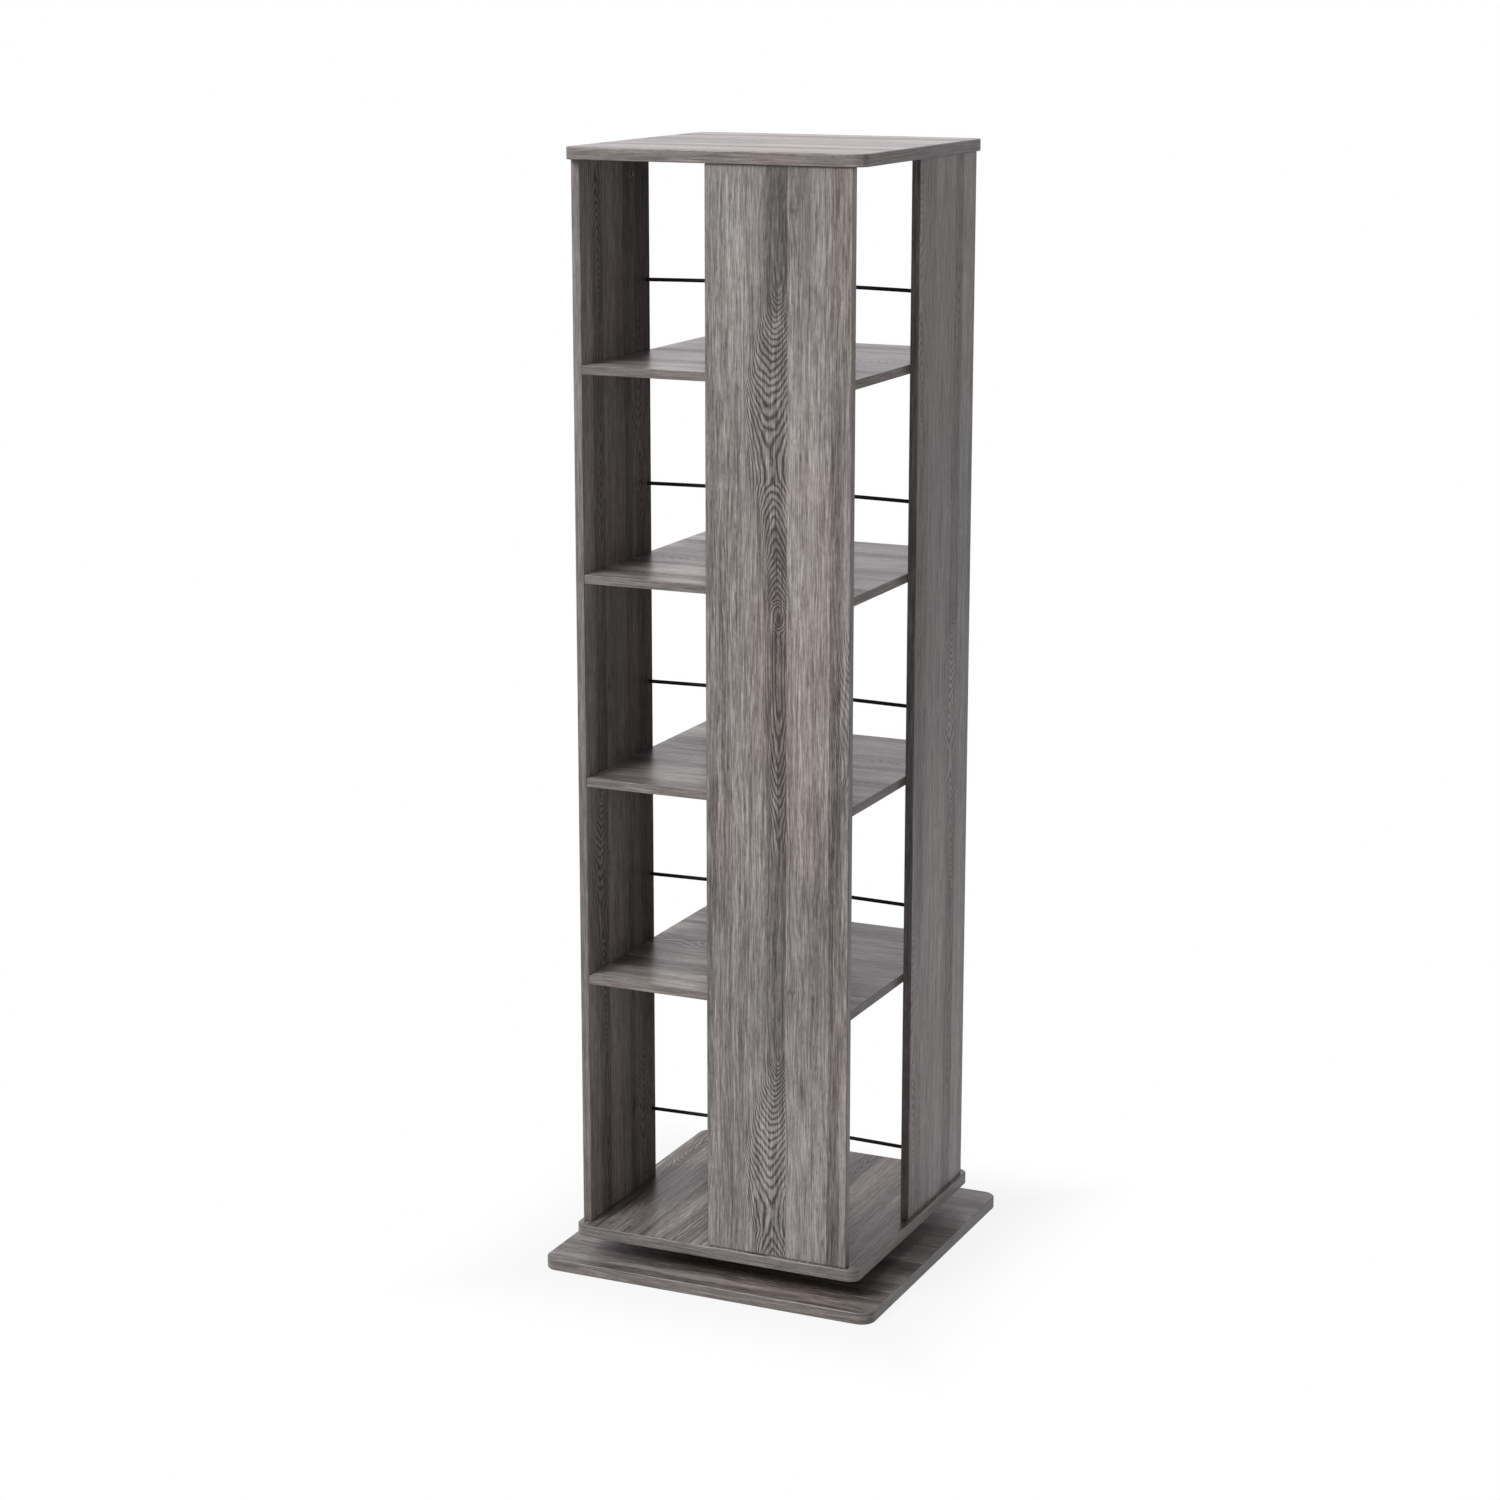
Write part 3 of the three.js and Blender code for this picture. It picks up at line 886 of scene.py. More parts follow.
def carved(mesh: Mesh, cutter: Mesh, crossing: bool = False) -> Mesh:
    """Cuts one mesh out of another.

    Args:
        mesh: The mesh that is cut.
        cutter: What is cut out, in the finish that the new faces take.
        crossing: Whether parts of the cutter run through each other.

    Returns:
        The cut mesh.
    """
    piece, tool = shown("cut", mesh), shown("cutter", cutter)
    cut = piece.modifiers.new("cut", "BOOLEAN")
    cut.operation = "DIFFERENCE"
    cut.solver = "EXACT"
    cut.material_mode = "TRANSFER"
    cut.use_self = crossing
    cut.object = tool
    made = applied(piece).data
    for done in (piece, tool):
        bpy.data.objects.remove(done)
    return made


def crossed(made: bmesh.types.BMesh, wide: float, long: float, low: float, high: float) -> None:
    """Adds two blocks that cross on the Z axis, as a driver's bit.

    Args:
        made: Where they are added.
        wide: Width of each block.
        long: Length of each block.
        low: Height of their undersides.
        high: Height of their tops.
    """
    for across, along in ((wide, long), (long, wide)):
        size = Matrix.Diagonal((across, along, high - low, 1.0))
        place = Matrix.Translation((0.0, 0.0, (high + low) / 2))
        bmesh.ops.create_cube(made, size=1.0, matrix=place @ size)


def grown(piece: Piece, tree: Tree, values: dict[str, object]) -> Piece:
    """Runs a geometry tree on a piece and keeps the result.

    Args:
        piece: The piece.
        tree: The tree.
        values: What goes into its named inputs.

    Returns:
        The same piece, with a plain mesh.
    """
    modifier = piece.modifiers.new(tree.name, "NODES")
    modifier.node_group = tree
    for item in tree.interface.items_tree:
        if item.in_out == "INPUT" and item.name in values:
            modifier[item.identifier] = values[item.name]
    return applied(piece)


def placing_tree() -> Tree:
    """The tree that sets a sample mesh at each point, turned by the point's own turn.

    Returns:
        The geometry tree, with inputs Sample and Finish, made on first use.
    """
    made = bpy.data.node_groups.get(PLACING_TREE)
    if made is not None:
        return made
    sheet = GroupSheet.geometry(PLACING_TREE, Sample="Object", Finish="Material")
    sample = sheet.wire("GeometryNodeObjectInfo", {"Object": sheet.given("Sample")}, "Geometry")
    turn = sheet.wire("GeometryNodeInputNamedAttribute", {"Name": TURN_MAP}, "Attribute",
                      data_type="QUATERNION")
    copies = sheet.wire("GeometryNodeInstanceOnPoints",
                        {"Points": sheet.given("Geometry"), "Instance": sample, "Rotation": turn})
    slot = sheet.wire("GeometryNodeInputMaterialIndex")
    main_faces = sheet.wire("FunctionNodeCompare", {2: slot, 3: 0}, data_type="INT", operation="EQUAL")
    return sheet.coat(copies, sheet.given("Finish"), main_faces)


def placed(name: str, mesh: Mesh, spots: Sequence[Matrix], finish: Finish) -> Piece:
    """Sets copies of a mesh at given places with the placing tree.

    Args:
        name: The piece's name.
        mesh: The mesh that is repeated.
        spots: Where each copy stands, as a matrix.
        finish: The finish of the copies' main faces; other faces keep theirs.

    Returns:
        A plain piece with all copies.
    """
    points = bpy.data.meshes.new(name + "_places")
    points.from_pydata([spot.to_translation() for spot in spots], [], [])
    turns = points.attributes.new(TURN_MAP, "QUATERNION", "POINT")
    for entry, spot in zip(turns.data, spots):
        entry.value = spot.to_quaternion()
    sample = shown(name + "_sample", mesh)
    piece = grown(shown(name, points), placing_tree(), {"Sample": sample, "Finish": finish.material()})
    bpy.data.objects.remove(sample)
    return piece


def joined(name: str, parts: Sequence[Piece], finish: Finish) -> Piece:
    """Joins objects at the origin into one plain piece.

    Args:
        name: The piece's name.
        parts: The objects, which are removed.
        finish: Their finish.

    Returns:
        The piece.
    """
    made = bmesh.new()
    for part in parts:
        made.from_mesh(part.data)
        bpy.data.objects.remove(part)
    return shown(name, meshed(name, made, finish))


def spun(name: str, outline: Line, sides: int, finish: Finish, smooth: bool = True) -> Mesh:
    """A body of revolution about Z from an outline.

    Args:
        name: The mesh's name.
        outline: Radii and heights. It closes on itself, ends on the axis or takes flat ends.
        sides: Facets round the axis.
        finish: Its finish.
        smooth: Whether it is shaded smooth up to its sharp edges.

    Returns:
        The mesh.
    """
    made = bmesh.new()
    ring_shaped = outline[0] == outline[-1]
    angles = [2 * math.pi * i / sides for i in range(sides)]
    rows = []
    for radius, height in outline[:-1] if ring_shaped else outline:
        around = angles if radius > 0.0 else angles[:1]
        rows.append([made.verts.new((radius * math.cos(a), radius * math.sin(a), height))
                     for a in around])
    belts = list(zip(rows, rows[1:]))
    if ring_shaped:
        belts.append((rows[-1], rows[0]))
    for lower, upper in belts:
        for i in range(sides):
            round_face = ((lower, i), (lower, i + 1), (upper, i + 1), (upper, i))
            points = dict.fromkeys(row[k % len(row)] for row, k in round_face)
            made.faces.new(list(points)).smooth = smooth
    for end in () if ring_shaped else (rows[0], rows[-1]):
        if len(end) > 1:
            made.faces.new(end)
    bmesh.ops.recalc_face_normals(made, faces=made.faces)
    mesh = meshed(name, made, finish)
    if smooth:
        mesh.set_sharp_from_angle(angle=SHARP_ANGLE)
    return mesh


def distances(line: Line) -> list[float]:
    """Distances along a line of points, from its start to each of them."""
    return list(accumulate((math.dist(a, b) for a, b in zip(line, line[1:])), initial=0.0))


@dataclass(frozen=True)
class PrintPlace:
    """Where a board's face was cut from the decor, in metres."""

    across: float
    along: float

    def times(self, count: int) -> "PrintPlace":
        """The place that many steps on."""
        return PrintPlace(self.across * count, self.along * count)


@dataclass(frozen=True)
class Bore:
    """A round blind bore in one face of a board. Its depth is signed, along the axis."""

    centre: Vector
    axis: Axis
    deep: float
    radius: float
    sides: int = 48
    overrun: float = 1.0 * MM

    def cut(self, made: bmesh.types.BMesh) -> None:
        """Adds the bore's cutter, which stands out of the face by the overrun."""
        spot = self.centre.copy()
        spot[self.axis.value] += (self.deep - math.copysign(self.overrun, self.deep)) / 2
        bmesh.ops.create_cone(made, cap_ends=True, segments=self.sides, radius1=self.radius,
                              radius2=self.radius, depth=abs(self.deep) + self.overrun,
                              matrix=Matrix.Translation(spot) @ self.axis.turn)


@dataclass
class Board:
    """A laminated board: two printed faces, and an edge band with rounded arrises all round."""

    name: str
    node: str
    thickness: Axis
    grain: Axis
    low_print: PrintPlace
    high_print: PrintPlace
    band_print: PrintPlace
    bores: Sequence[Bore] = ()
    body: str = "tower"
    corner: float = 1.3 * MM
    arris: float = 0.9 * MM
    seam: float = 0.18 * MM
    hold: float = 0.25 * MM
    arris_steps: int = 4
    corner_steps: int = 3

    def __post_init__(self) -> None:
        """Takes the board's box from its CAD node."""
        self.low, self.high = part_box(self.node)

    @property
    def across(self) -> int:
        """The axis across the grain in the board's face."""
        return 3 - self.thickness.value - self.grain.value

    def outline(self, inset: float) -> list[tuple[float, float]]:
        """The board's outline drawn in from its edge.

        Args:
            inset: How far it is drawn in.

        Returns:
            Points across and along the grain, counter-clockwise.
        """
        axes = (self.across, self.grain.value)
        middle = [(self.high[axis] + self.low[axis]) / 2 for axis in axes]
        reach = [(self.high[axis] - self.low[axis]) / 2 - self.corner for axis in axes]
        radius = self.corner - inset
        points = []
        for quarter, signs in enumerate(((1, 1), (-1, 1), (-1, -1), (1, -1))):
            for step in range(self.corner_steps + 1):
                angle = (quarter + step / self.corner_steps) * math.pi / 2
                turn = (math.cos(angle), math.sin(angle))
                points.append(tuple(m + s * r + radius * t
                                    for m, s, r, t in zip(middle, signs, reach, turn)))
        return points

    def profile(self) -> list[tuple[float, float]]:
        """The edge's section, from the lower face to the upper one.

        Returns:
            Pairs of inset and height; the first and last bound the printed faces.
        """
        tall = self.high[self.thickness.value] - self.low[self.thickness.value]
        arc = [step * math.pi / 2 / self.arris_steps for step in range(self.arris_steps + 1)]
        lower = [(self.arris * (1 - math.sin(a)), self.arris * (1 - math.cos(a))) for a in arc]
        lower = [(self.arris + self.seam, 0.0), *lower, (0.0, self.arris + self.hold)]
        return lower + [(inset, tall - height) for inset, height in reversed(lower)]

    def point(self, across: float, along: float, height: float) -> Vector:
        """A point of the board in the row frame."""
        spot = Vector((0.0, 0.0, 0.0))
        spot[self.across] = across
        spot[self.grain.value] = along
        spot[self.thickness.value] = self.low[self.thickness.value] + height
        return spot

    def mesh(self) -> Mesh:
        """The board's mesh with its print map, and laminate, band and seam as its materials."""
        made = bmesh.new()
        print_map = made.loops.layers.uv.new(PRINT_MAP)
        section = self.profile()
        rings = [self.outline(inset) for inset, _ in section]
        rows = [[made.verts.new(self.point(a, b, height)) for a, b in ring]
                for ring, (_, height) in zip(rings, section)]
        edge = rings[len(rings) // 2]
        runs = distances([*edge, edge[0]])
        climbs = distances(section)
        for level, (lower, upper) in enumerate(zip(rows, rows[1:])):
            seam = level in (0, len(rows) - 2)
            for i in range(len(edge)):
                j = (i + 1) % len(edge)
                face = made.faces.new((lower[i], lower[j], upper[j], upper[i]))
                face.material_index = BOARD_FINISHES.index(SEAM if seam else BAND)
                face.smooth = not seam
                for loop, (run, up) in zip(face.loops, ((0, 0), (1, 0), (1, 1), (0, 1))):
                    loop[print_map].uv = (self.band_print.across + climbs[level + up],
                                          self.band_print.along + runs[i + run])
        for row, place in ((rows[0], self.low_print), (rows[-1], self.high_print)):
            for loop in made.faces.new(row).loops:
                spot = loop.vert.co
                loop[print_map].uv = (spot[self.across] + place.across,
                                      spot[self.grain.value] + place.along)
        bmesh.ops.recalc_face_normals(made, faces=made.faces)
        return meshed(self.name, made, *BOARD_FINISHES)

    def build(self) -> None:
        """Makes the board, cuts its bores and dresses it."""
        mesh = self.mesh()
        if self.bores:
            cutters = bmesh.new()
            for bore in self.bores:
                bore.cut(cutters)
            mesh = carved(mesh, meshed("bores", cutters, CHIPBOARD))
        dress(shown(self.name, mesh), self.body, [self.node])


@dataclass
class CamSet:
    """The sixteen cams under the shelves and the four at the panels' tops, cast with a cross recess."""

    radius: float = 6.0 * MM
    bore_radius: float = 6.3 * MM
    bore_depth: float = 9.8 * MM
    sunk: float = 0.3 * MM
    chamfer: float = 0.8 * MM
    height: float = 7.0 * MM
    slot_width: float = 1.7 * MM
    slot_length: float = 7.4 * MM
    slot_depth: float = 2.2 * MM
    rim: float = 1.3 * MM
    dish: float = 0.5 * MM
    pointer_radius: float = 0.55 * MM
    pointer_height: float = 0.8 * MM
    pointer_place: float = 3.1 * MM
    pointer_sides: int = 3
    first_turn: float = 0.3
    turn_step: float = 1.1
    sides: int = 40

    def bore(self, node: str, thickness: Axis, inward: float) -> Bore:
        """The bore that a cam needs in its board; the arguments are those of its face."""
        centre = self.face(node, thickness, inward)
        return Bore(centre, thickness, inward * self.bore_depth, self.bore_radius)

    def face(self, node: str, thickness: Axis, inward: float) -> Vector:
        """The middle of a cam's bore in its board's face.

        Args:
            node: The cam's CAD node, whose box holds the cam's disc and its long bolt.
            thickness: The board's thickness axis.
            inward: 1 where the bore runs up the axis from the face, or -1 down it.

        Returns:
            The point in the board's face.
        """
        low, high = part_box(node)
        spot = (low + high) / 2
        long = max(range(3), key=lambda i: high[i] - low[i])
        outward = abs(high[long]) > abs(low[long])
        spot[long] = low[long] + self.radius if outward else high[long] - self.radius
        spot[thickness.value] = (low if inward > 0 else high)[thickness.value] - inward * self.sunk
        return spot

    def cast(self) -> Mesh:
        """One cam, its dished face on z = 0 with a driver's cross and a pointer, and its body below."""
        flat = self.radius - self.rim
        outline = ((self.radius, -self.height), (self.radius, -self.chamfer),
                   (self.radius - self.chamfer, 0.0), (flat, 0.0), (flat - self.dish, -self.dish))
        recess = bmesh.new()
        crossed(recess, self.slot_width, self.slot_length, -self.slot_depth - self.dish, MM)
        spot = Matrix.Translation((self.pointer_place, self.pointer_place, -self.dish))
        bmesh.ops.create_cone(recess, cap_ends=True, segments=self.pointer_sides,
                              radius1=self.pointer_radius, radius2=self.pointer_radius,
                              depth=self.pointer_height, matrix=spot)
        disc = spun("cam", outline, self.sides, ZINC, smooth=False)
        # The recess's walls take the hollow's painted shade.
        return carved(disc, meshed("recess", recess, HOLLOW_PAINTED_SHADE), crossing=True)

    def build(self) -> None:
        """Sets a cam at each place, by the placing tree."""
        spots, nodes = [], []
        for side in Side:
            for i in FOUR:
                nodes.append(f"cam_{side.word}_shelf_{i}")
                place = self.face(nodes[-1], Axis.Z, 1.0) + Vector((0.0, 0.0, self.sunk))
                turn = Matrix.Rotation(self.first_turn + self.turn_step * i, 4, "Z")
                spots.append(Matrix.Translation(place) @ UPSIDE_DOWN @ turn)
            nodes.append(f"cam_{side.word}_top")
            out = Vector((0.0, 0.0, 0.0))
            out[side.thickness.value] = -side.inward
            place = self.face(nodes[-1], side.thickness, side.inward) - out * self.sunk
            turn = out.to_track_quat("Z", "Y").to_matrix().to_4x4()
            spots.append(Matrix.Translation(place) @ turn @ Matrix.Rotation(self.first_turn, 4, "Z"))
        dress(placed("cam_fittings", self.cast(), spots, ZINC), "tower", nodes)


@dataclass
class RodSet:
    """Ten black rods: at each level one across and one from front to back, bowed where they cross."""

    diameter: float = 5.0 * MM
    clearance: float = 0.3 * MM
    sides: int = 24
    steps: int = 48
    levels: int = 5

    def build(self) -> None:
        """Draws each rod with the rod tree and joins them as one set."""
        tree = self.tree()
        rods, nodes = [], []
        bow = (self.diameter + self.clearance) / 2
        turned = Matrix.Rotation(math.pi / 2, 4, "Z") @ UPSIDE_DOWN
        for name, axis, turn in (("rod_left_right", Axis.X, Matrix.Identity(4)),
                                 ("rod_front_back", Axis.Y, turned)):
            for i in range(1, self.levels + 1):
                node = f"{name}_{i}"
                low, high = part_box(node)
                reach = (high[axis.value] - low[axis.value]) / 2
                level = low.z + self.diameter / 2 if axis is Axis.X else high.z - self.diameter / 2
                rod = grown(shown(node + "_drawn", bpy.data.meshes.new(node)), tree,
                            {"Reach": reach, "Diameter": self.diameter, "Bow": bow})
                rod.data.transform(Matrix.Translation((0.0, 0.0, level)) @ turn)
                rods.append(rod)
                nodes.append(node)
        dress(joined("retaining_rods", rods, ROD_PAINT), "tower", nodes)

    def tree(self) -> Tree:
        """The tree of one rod along X, bowed as a beam on two ends that is pushed in the middle.

        Returns:
            The geometry tree, with inputs Reach, Diameter and Bow.
        """
        sheet = GroupSheet.geometry("bowed rod", Reach="Float", Diameter="Float", Bow="Float")
        reach, diameter, bow = (sheet.given(name) for name in ("Reach", "Diameter", "Bow"))
        line = sheet.wire("GeometryNodeCurvePrimitiveLine",
                          {"Start": sheet.place(reach * -1.0), "End": sheet.place(reach)})
        fine = sheet.wire("GeometryNodeResampleCurve", {"Curve": line, "Count": self.steps + 1})
        across = sheet.parts(sheet.wire("GeometryNodeInputPosition"))[0]
        share = sheet.math("SUBTRACT", 0.5, abs(across) / (reach * 2.0), clamp=True)
        lift = sheet.place(0.0, 0.0, bow * (share * 3.0 - share ** 3.0 * 4.0))
        bent = sheet.wire("GeometryNodeSetPosition", {"Geometry": fine, "Offset": lift})
        round_side = {"Resolution": self.sides, "Radius": diameter * 0.5}
        ring = sheet.wire("GeometryNodeCurvePrimitiveCircle", round_side)
        tube = sheet.wire("GeometryNodeCurveToMesh",
                          {"Curve": bent, "Profile Curve": ring, "Fill Caps": True})
        return sheet.coat(tube, ROD_PAINT.material())


@dataclass
class Panels:
    """The four upright panels, each set like a vane of a pinwheel."""

    prints: dict[Side, tuple[PrintPlace, PrintPlace]] = field(default_factory=lambda: {
        Side.FRONT: (PrintPlace(0.010, 0.0), PrintPlace(0.395, 0.260)),
        Side.RIGHT: (PrintPlace(0.455, 0.610), PrintPlace(0.219, 0.440)),
        Side.BACK: (PrintPlace(0.295, 0.800), PrintPlace(0.205, 0.130)),
        Side.LEFT: (PrintPlace(0.330, 0.700), PrintPlace(0.240, 0.640)),
    })
    band_heart: float = 0.126
    band_step: PrintPlace = PrintPlace(0.25, 0.37)

    def build(self, cams: CamSet) -> None:
        """Makes each panel, with the bore of its top cam, which the cams know."""
        for side, prints in self.prints.items():
            step = self.band_step.times(side.value)
            Board(f"{side.word}_panel", f"panel_{side.word}", side.thickness, Axis.Z, *prints,
                  PrintPlace(self.band_heart + step.across, step.along),
                  [cams.bore(f"cam_{side.word}_top", side.thickness, side.inward)]).build()


@dataclass
class Shelves:
    """The four square shelves that fill the tower between its panels."""

    under_step: PrintPlace = PrintPlace(0.149, 0.417)
    print_step: PrintPlace = PrintPlace(0.083, 0.271)
    band: PrintPlace = PrintPlace(0.128, 0.150)

    def build(self, cams: CamSet) -> None:
        """Makes each shelf from the lowest up, with the bores of its four cams."""
        for i in FOUR:
            bores = [cams.bore(f"cam_{side.word}_shelf_{i}", Axis.Z, 1.0) for side in Side]
            band = PrintPlace(self.band.across, self.band.along * i)
            Board(f"tower_shelf_{i}", f"shelf_{i}", Axis.Z, Axis.X, self.under_step.times(i),
                  self.print_step.times(i), band, bores).build()


@dataclass
class Plates:
    """The thick square plates with rounded corners: base, floor and top."""

    corner_steps: int = 14
    arris: float = 1.2 * MM
    tower_corner: float = 16.0 * MM
    base_corner: float = 20.0 * MM
    access_radius: float = 10.0 * MM
    base_prints: tuple[PrintPlace, ...] = (PrintPlace(0.6, 0.2), PrintPlace(0.412, 0.245),
                                           PrintPlace(0.124, 0.1))
    floor_prints: tuple[PrintPlace, ...] = (PrintPlace(0.5, 0.3), PrintPlace(0.285, 0.610),
                                            PrintPlace(0.376, 0.5))
    top_prints: tuple[PrintPlace, ...] = (PrintPlace(0.7, 0.9), PrintPlace(0.205, 0.700),
                                          PrintPlace(0.130, 0.33))

    def build(self) -> None:
        """Makes base, floor and top plate."""
        for word, body, grain, prints, corner, bores in (
                ("base", "base", Axis.X, self.base_prints, self.base_corner, [self.access()]),
                ("floor", "tower", Axis.Y, self.floor_prints, self.tower_corner, []),
                ("top", "tower", Axis.X, self.top_prints, self.tower_corner, [])):
            Board(f"{word}_board", f"{word}_plate", Axis.Z, grain, *prints, bores, body, corner,
                  self.arris, corner_steps=self.corner_steps).build()

    def access(self) -> Bore:
        """The hole through the base by which the upper plate's screws are driven."""
        low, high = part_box("base_plate")
        screw_low, screw_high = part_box("upper_plate_screw_1")
        middle = (screw_low + screw_high) / 2
        centre = Vector((math.hypot(middle.x, middle.y), 0.0, high.z))
        return Bore(centre, Axis.Z, -(high.z - low.z + MM), self.access_radius)


@dataclass
class Swivel:
    """The ball swivel: two pressed plates, a caged row of balls, its screws and the spacer board."""

    plate_rounding: float = 0.35 * MM
    spacer_rounding: float = 0.4 * MM
    ball_radius: float = 3.2 * MM
    balls: int = 16
    ball_sides: int = 24
    ball_steps: int = 12
    cage_half: float = 7.0 * MM
    cage_thickness: float = 1.0 * MM
    cage_edge: float = 0.2 * MM
    cage_sides: int = 96
    race_margin: float = 27.0 * MM
    head_radius: float = 4.0 * MM
    head_height: float = 2.2 * MM
    head_shares: Line = ((1.0, 0.0), (1.0, 0.35), (0.9, 0.72), (0.68, 0.94), (0.4, 1.0), (0.0, 1.0))
    thread_radius: float = 2.0 * MM
    core_radius: float = 1.6 * MM
    pitch: float = 1.6 * MM
    crest_share: float = 0.35
    valley_share: float = 0.6
    point: float = 3.0 * MM
    tip_shares: tuple[float, float] = (0.35, 0.4)
    thread_start: float = 1.07
    neck: float = 0.3 * MM
    screw_sides: int = 24
    cross_width: float = 1.0 * MM
    cross_length: float = 4.4 * MM
    cross_depth: float = 1.2 * MM

    def build(self) -> None:
        """Dresses the plates, the spacer and the screws, and draws the balls."""
        for node in ("swivel_lower_plate", "swivel_upper_plate"):
            soften(coated(node, ZINC), self.plate_rounding)
        soften(coated("spacer_board", CHIPBOARD), self.spacer_rounding)
        self.ball_ring()
        self.pan_screws("lower_plate_screw", "base", down=True)
        self.pan_screws("upper_plate_screw", "tower", down=False)
        for side in Side:
            coated(f"floor_screw_{side.word}", ZINC)

    def ball_ring(self) -> None:
        """Draws the caged row of balls, with each ball set by the placing tree."""
        low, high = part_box("bearing_ball_ring")
        middle = (low.z + high.z) / 2
        swivel_low, swivel_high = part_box("swivel_lower_plate")
        radius = (swivel_high.x - swivel_low.x) / 2 - self.race_margin
        inner, outer, half = radius - self.cage_half, radius + self.cage_half, self.cage_thickness / 2
        edge, flat = self.cage_edge, half - self.cage_edge
        outline = [(inner, -flat), (inner + edge, -half), (outer - edge, -half), (outer, -flat),
                   (outer, flat), (outer - edge, half), (inner + edge, half), (inner, flat)]
        cage = shown("cage", spun("cage", [*outline, outline[0]], self.cage_sides, ZINC))
        cage.data.transform(Matrix.Translation((0.0, 0.0, middle)))
        arc = [math.pi * i / self.ball_steps for i in range(1, self.ball_steps)]
        half_round = [(self.ball_radius * math.sin(a), -self.ball_radius * math.cos(a)) for a in arc]
        half_round = [(0.0, -self.ball_radius), *half_round, (0.0, self.ball_radius)]
        turns = [(i + 0.5) * 2 * math.pi / self.balls for i in range(self.balls)]
        spots = [Matrix.Translation((radius * math.cos(a), radius * math.sin(a), middle)) for a in turns]
        row = placed("balls", spun("ball", half_round, self.ball_sides, ZINC), spots, ZINC)
        dress(joined("caged_balls", [cage, row], ZINC), "ball_ring", ["bearing_ball_ring"])

    def pan_screws(self, name: str, body: str, down: bool) -> None:
        """Sets the four pan-head screws of a plate.

        Args:
            name: The screws' name in the CAD nodes.
            body: The CAD body they ride on.
            down: Whether they point down.
        """
        nodes = [f"{name}_{i}" for i in FOUR]
        spots = []
        for node in nodes:
            low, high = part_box(node)
            spot = (low + high) / 2
            spot.z = high.z - self.head_height if down else low.z + self.head_height
            turn = Matrix.Identity(4) if down else UPSIDE_DOWN
            spots.append(Matrix.Translation(spot) @ turn)
        screw = self.pan_screw(high.z - low.z - self.head_height)
        dress(placed(name + "s", screw, spots, ZINC), body, nodes)

    def pan_screw(self, length: float) -> Mesh:
        """A pan-head screw with a cross recess, the seat of its head on z = 0 and its point below.

        Args:
            length: From the seat to the point.

        Returns:
            The mesh.
        """
        core, thread, tall = self.core_radius, self.thread_radius, self.head_height
        tip_radius, tip_height = self.tip_shares
        outline = [(0.0, -length), (core * tip_radius, -length + self.point * tip_height),
                   (core, -length + self.point)]
        level = -length + self.point * self.thread_start
        while level < -self.pitch:
            outline += [(core, level), (thread, level + self.pitch * self.crest_share),
                        (core, level + self.pitch * self.valley_share)]
            level += self.pitch
        outline += [(thread, -self.neck), (thread, 0.0)]
        outline += [(self.head_radius * across, tall * up) for across, up in self.head_shares]
        cross, deep = bmesh.new(), self.cross_depth
        crossed(cross, self.cross_width, self.cross_length, tall - deep, tall + deep)
        # The cross recess's walls take the hollow's painted shade.
        return carved(spun("screw", outline, self.screw_sides, ZINC), meshed("cross", cross, HOLLOW_PAINTED_SHADE),
                      crossing=True)


def soften(node: Piece, width: float, merge: float = 0.01 * MM, segments: int = 2,
           angle: float = 35.0) -> None:
    """Rounds the arrises of a CAD node with live modifiers.

    Args:
        node: The CAD node's object.
        width: How wide the rounding is.
        merge: How close corners are taken as one.
        segments: Steps across the rounding.
        angle: The flattest edge that is rounded, in degrees.
    """
    node.modifiers.new("weld", "WELD").merge_threshold = merge
    bevel = node.modifiers.new("arris", "BEVEL")
    bevel.width = width
    bevel.segments = segments
    bevel.limit_method = "ANGLE"
    bevel.angle_limit = math.radians(angle)
    bevel.harden_normals = False


@dataclass(frozen=True)
class Lamp:
    """A soft square lamp that looks at the middle of the tower.

    Place and side are metres, the power is watts. A lamp that isn't mirrored lights without a glint.
    """

    name: str
    place: tuple[float, float, float]
    side: float
    power: float
    tint: Colour
    mirrored: bool = True


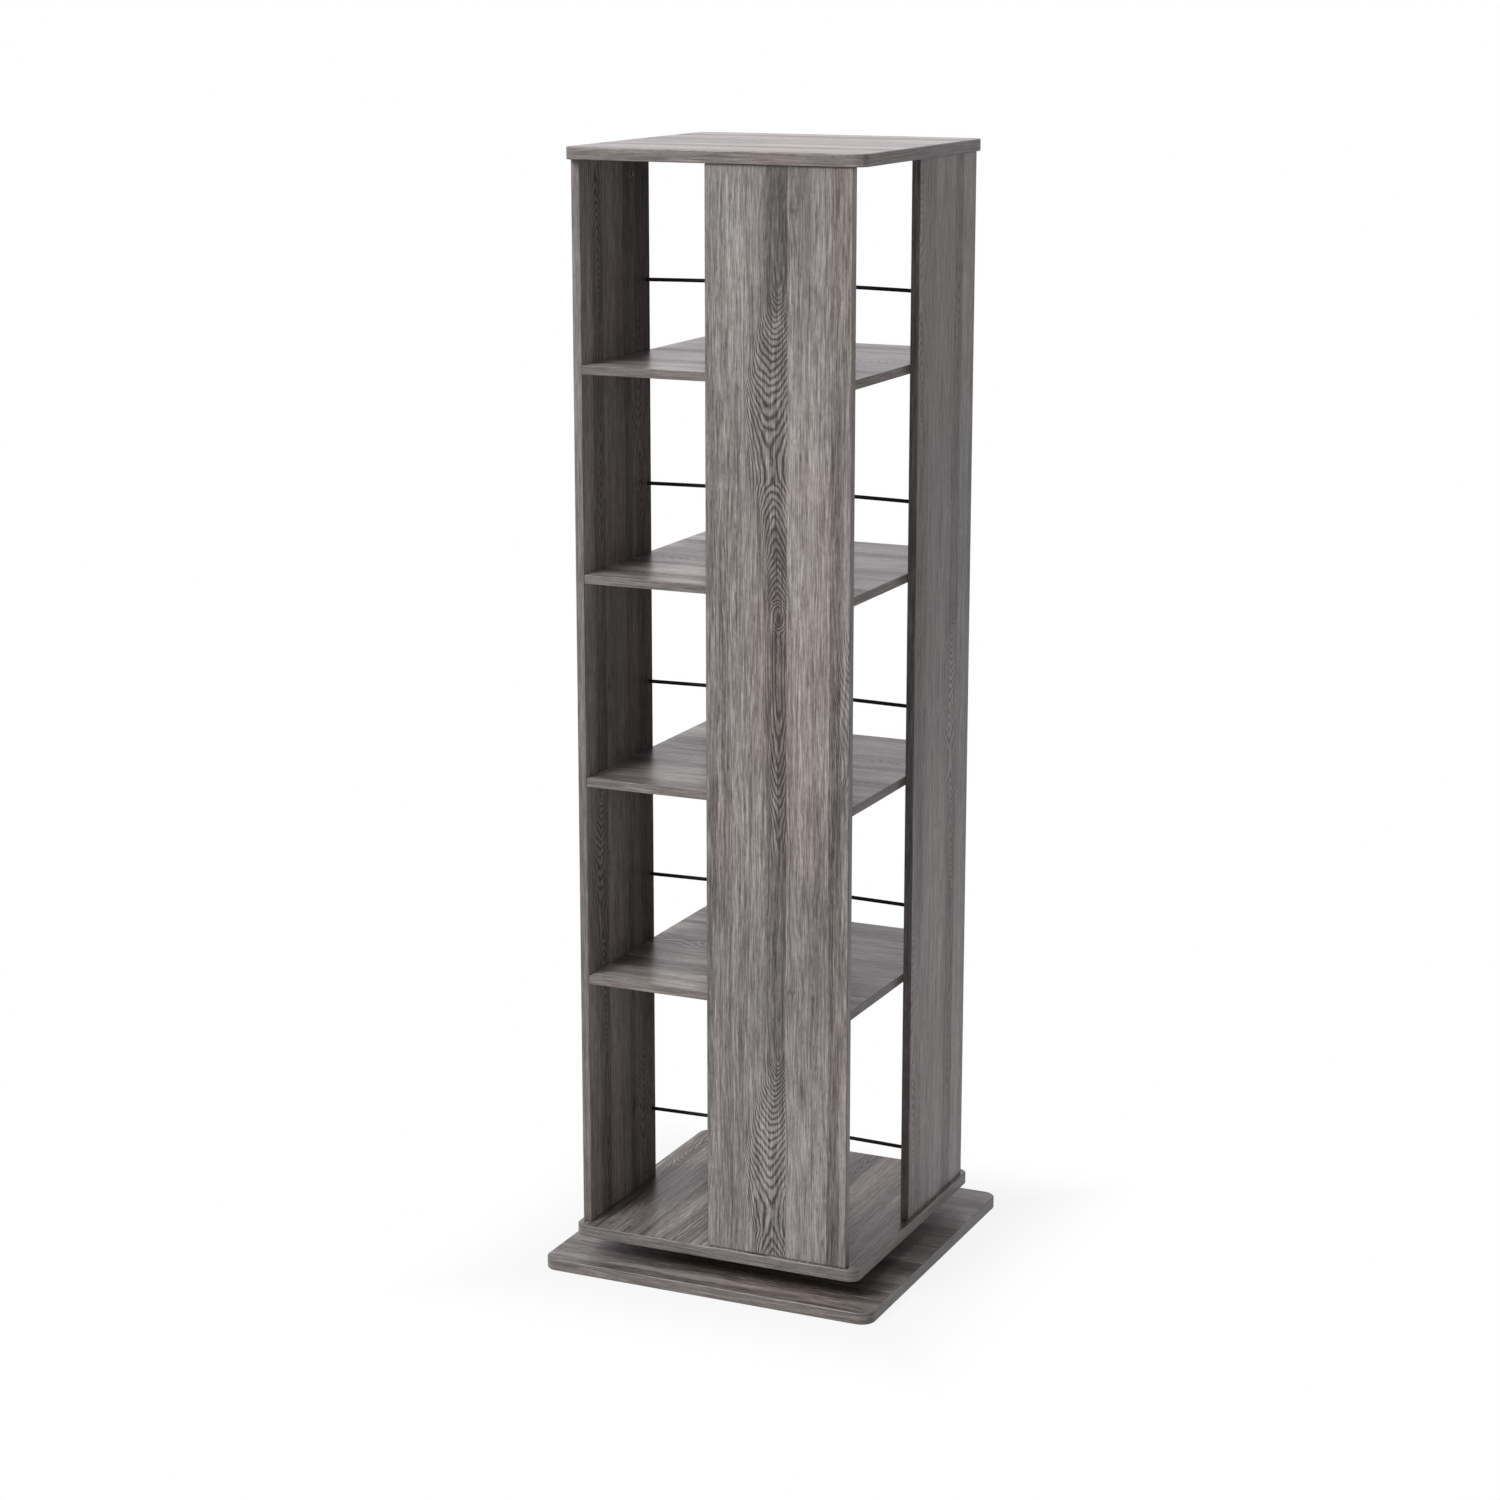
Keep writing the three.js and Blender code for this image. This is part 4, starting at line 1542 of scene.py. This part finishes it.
@dataclass
class Studio:
    """A pale floor that runs out into white, soft lamps, and the camera of the photograph.

    The stretches give, for metres from the middle, how brightly the floor is mirrored and how white it
    is seen, and for a ray's rise, how much brighter than its plain light the world is mirrored.
    """

    picture_side: float = 1500.0
    focal_pixels: float = 3299.0
    sensor: float = 36.0
    place: tuple[float, float, float] = (1.750, -3.943, 1.727)
    heading: float = 24.41
    pitch: float = 13.45
    floor_side: float = 900.0
    floor_colour: Colour = (0.50, 0.50, 0.51)
    floor_rough: float = 0.9
    floor_mirrored: Stretch = Stretch(0.5, 3.0, 0.62, 0.40)
    floor_white: Stretch = Stretch(0.24, 0.42, 0.88, 1.0, smooth=True)
    world_plain: float = 0.19
    world_mirrored: Stretch = Stretch(0.20, 0.36, 1.09, 0.47, smooth=True)
    white: Colour = (1.0, 1.0, 1.0)
    mirrored_tint: Colour = (1.0, 0.960, 0.985)
    aim: tuple[float, float, float] = (0.0, 0.0, 0.75)
    lamps: tuple[Lamp, ...] = (
        Lamp("key", (-3.2, -5.7, 6.1), 3.4, 612.0, (1.0, 0.988, 0.975)),
        Lamp("fill", (4.4, -2.6, 0.9), 2.4, 18.0, (0.97, 0.94, 1.0)),
        Lamp("top", (0.4, -1.3, 6.0), 3.0, 68.0, (0.94, 0.97, 1.0), mirrored=False),
        Lamp("back", (-3.0, 4.2, 2.6), 2.6, 80.0, (0.97, 0.98, 1.0), mirrored=False),
    )

    def build(self) -> None:
        """Builds camera, floor, world and lamps."""
        self.camera()
        self.floor()
        self.world()
        for lamp in self.lamps:
            self.hang(lamp)
        bpy.context.scene.view_settings.view_transform = "Standard"

    def camera(self) -> None:
        """Sets the camera where the photograph was taken from."""
        data = bpy.data.cameras.new("camera")
        data.sensor_width = self.sensor
        data.lens = self.sensor * self.focal_pixels / self.picture_side
        made = shown("camera", data)
        made.location = self.place
        made.rotation_euler = (math.radians(90 - self.pitch), 0.0, math.radians(self.heading))
        bpy.context.scene.camera = made

    def floor(self) -> None:
        """Lays the floor, which shows as white apart from the object's soft shadow."""
        half = self.floor_side / 2
        mesh = bpy.data.meshes.new("floor")
        mesh.from_pydata([(-half, -half, 0), (half, -half, 0), (half, half, 0), (-half, half, 0)], [],
                         [(0, 1, 2, 3)])
        material = bpy.data.materials.new("pale floor")
        material.use_nodes = True
        nodes = material.node_tree.nodes
        sheet = NodeSheet(material.node_tree)
        sheet.fill(nodes["Principled BSDF"], {"Base Color": (*self.floor_colour, 1.0),
                                              "Roughness": self.floor_rough, "Specular IOR Level": 0.0})
        right, back, _ = sheet.parts(sheet.spot())
        away = abs(right).most(abs(back))
        seen = (sheet.ray("Glossy") * away.mapped(self.floor_mirrored)).most(sheet.ray("Camera"))
        plain = Wire(sheet, nodes["Principled BSDF"].outputs[0])
        glow = sheet.wire("ShaderNodeEmission", {"Strength": 1.0})
        share = seen * away.mapped(self.floor_white)
        mixed = sheet.wire("ShaderNodeMixShader", {0: share, 1: plain, 2: glow})
        sheet.fill(nodes["Material Output"], {"Surface": mixed})
        mesh.materials.append(material)
        shown("floor", mesh)

    def world(self) -> None:
        """Sets the world: white where it is seen, mirrored dimmer higher up, and a plain soft light."""
        world = bpy.data.worlds.new("studio")
        world.use_nodes = True
        sheet = NodeSheet(world.node_tree)
        mirrored = sheet.ray("Glossy").most(sheet.ray("Transmission"))
        rise = sheet.parts(sheet.spot())[2]
        level = mirrored * rise.mapped(self.world_mirrored) + self.world_plain
        colour = sheet.mix(mirrored, self.white, self.mirrored_tint)
        sheet.fill(world.node_tree.nodes["Background"],
                   {"Color": colour, "Strength": level.most(sheet.ray("Camera"))})
        bpy.context.scene.world = world

    def hang(self, lamp: Lamp) -> None:
        """Hangs a lamp.

        Args:
            lamp: The lamp.
        """
        data = bpy.data.lights.new(lamp.name, "AREA")
        data.shape = "SQUARE"
        data.size = lamp.side
        data.energy = lamp.power
        data.color = lamp.tint
        made = shown(lamp.name, data)
        made.location = lamp.place
        made.visible_glossy = lamp.mirrored
        ray = Vector(self.aim) - Vector(lamp.place)
        made.rotation_euler = ray.to_track_quat("-Z", "Y").to_euler()


def main() -> None:
    """Builds the studio and dresses the tower."""
    logging.basicConfig(level=logging.INFO, format="%(name)s: %(message)s")
    Studio().build()
    cams = CamSet()
    Plates().build()
    Panels().build(cams)
    Shelves().build(cams)
    RodSet().build()
    cams.build()
    Swivel().build()


if __name__ == "__main__":
    main()
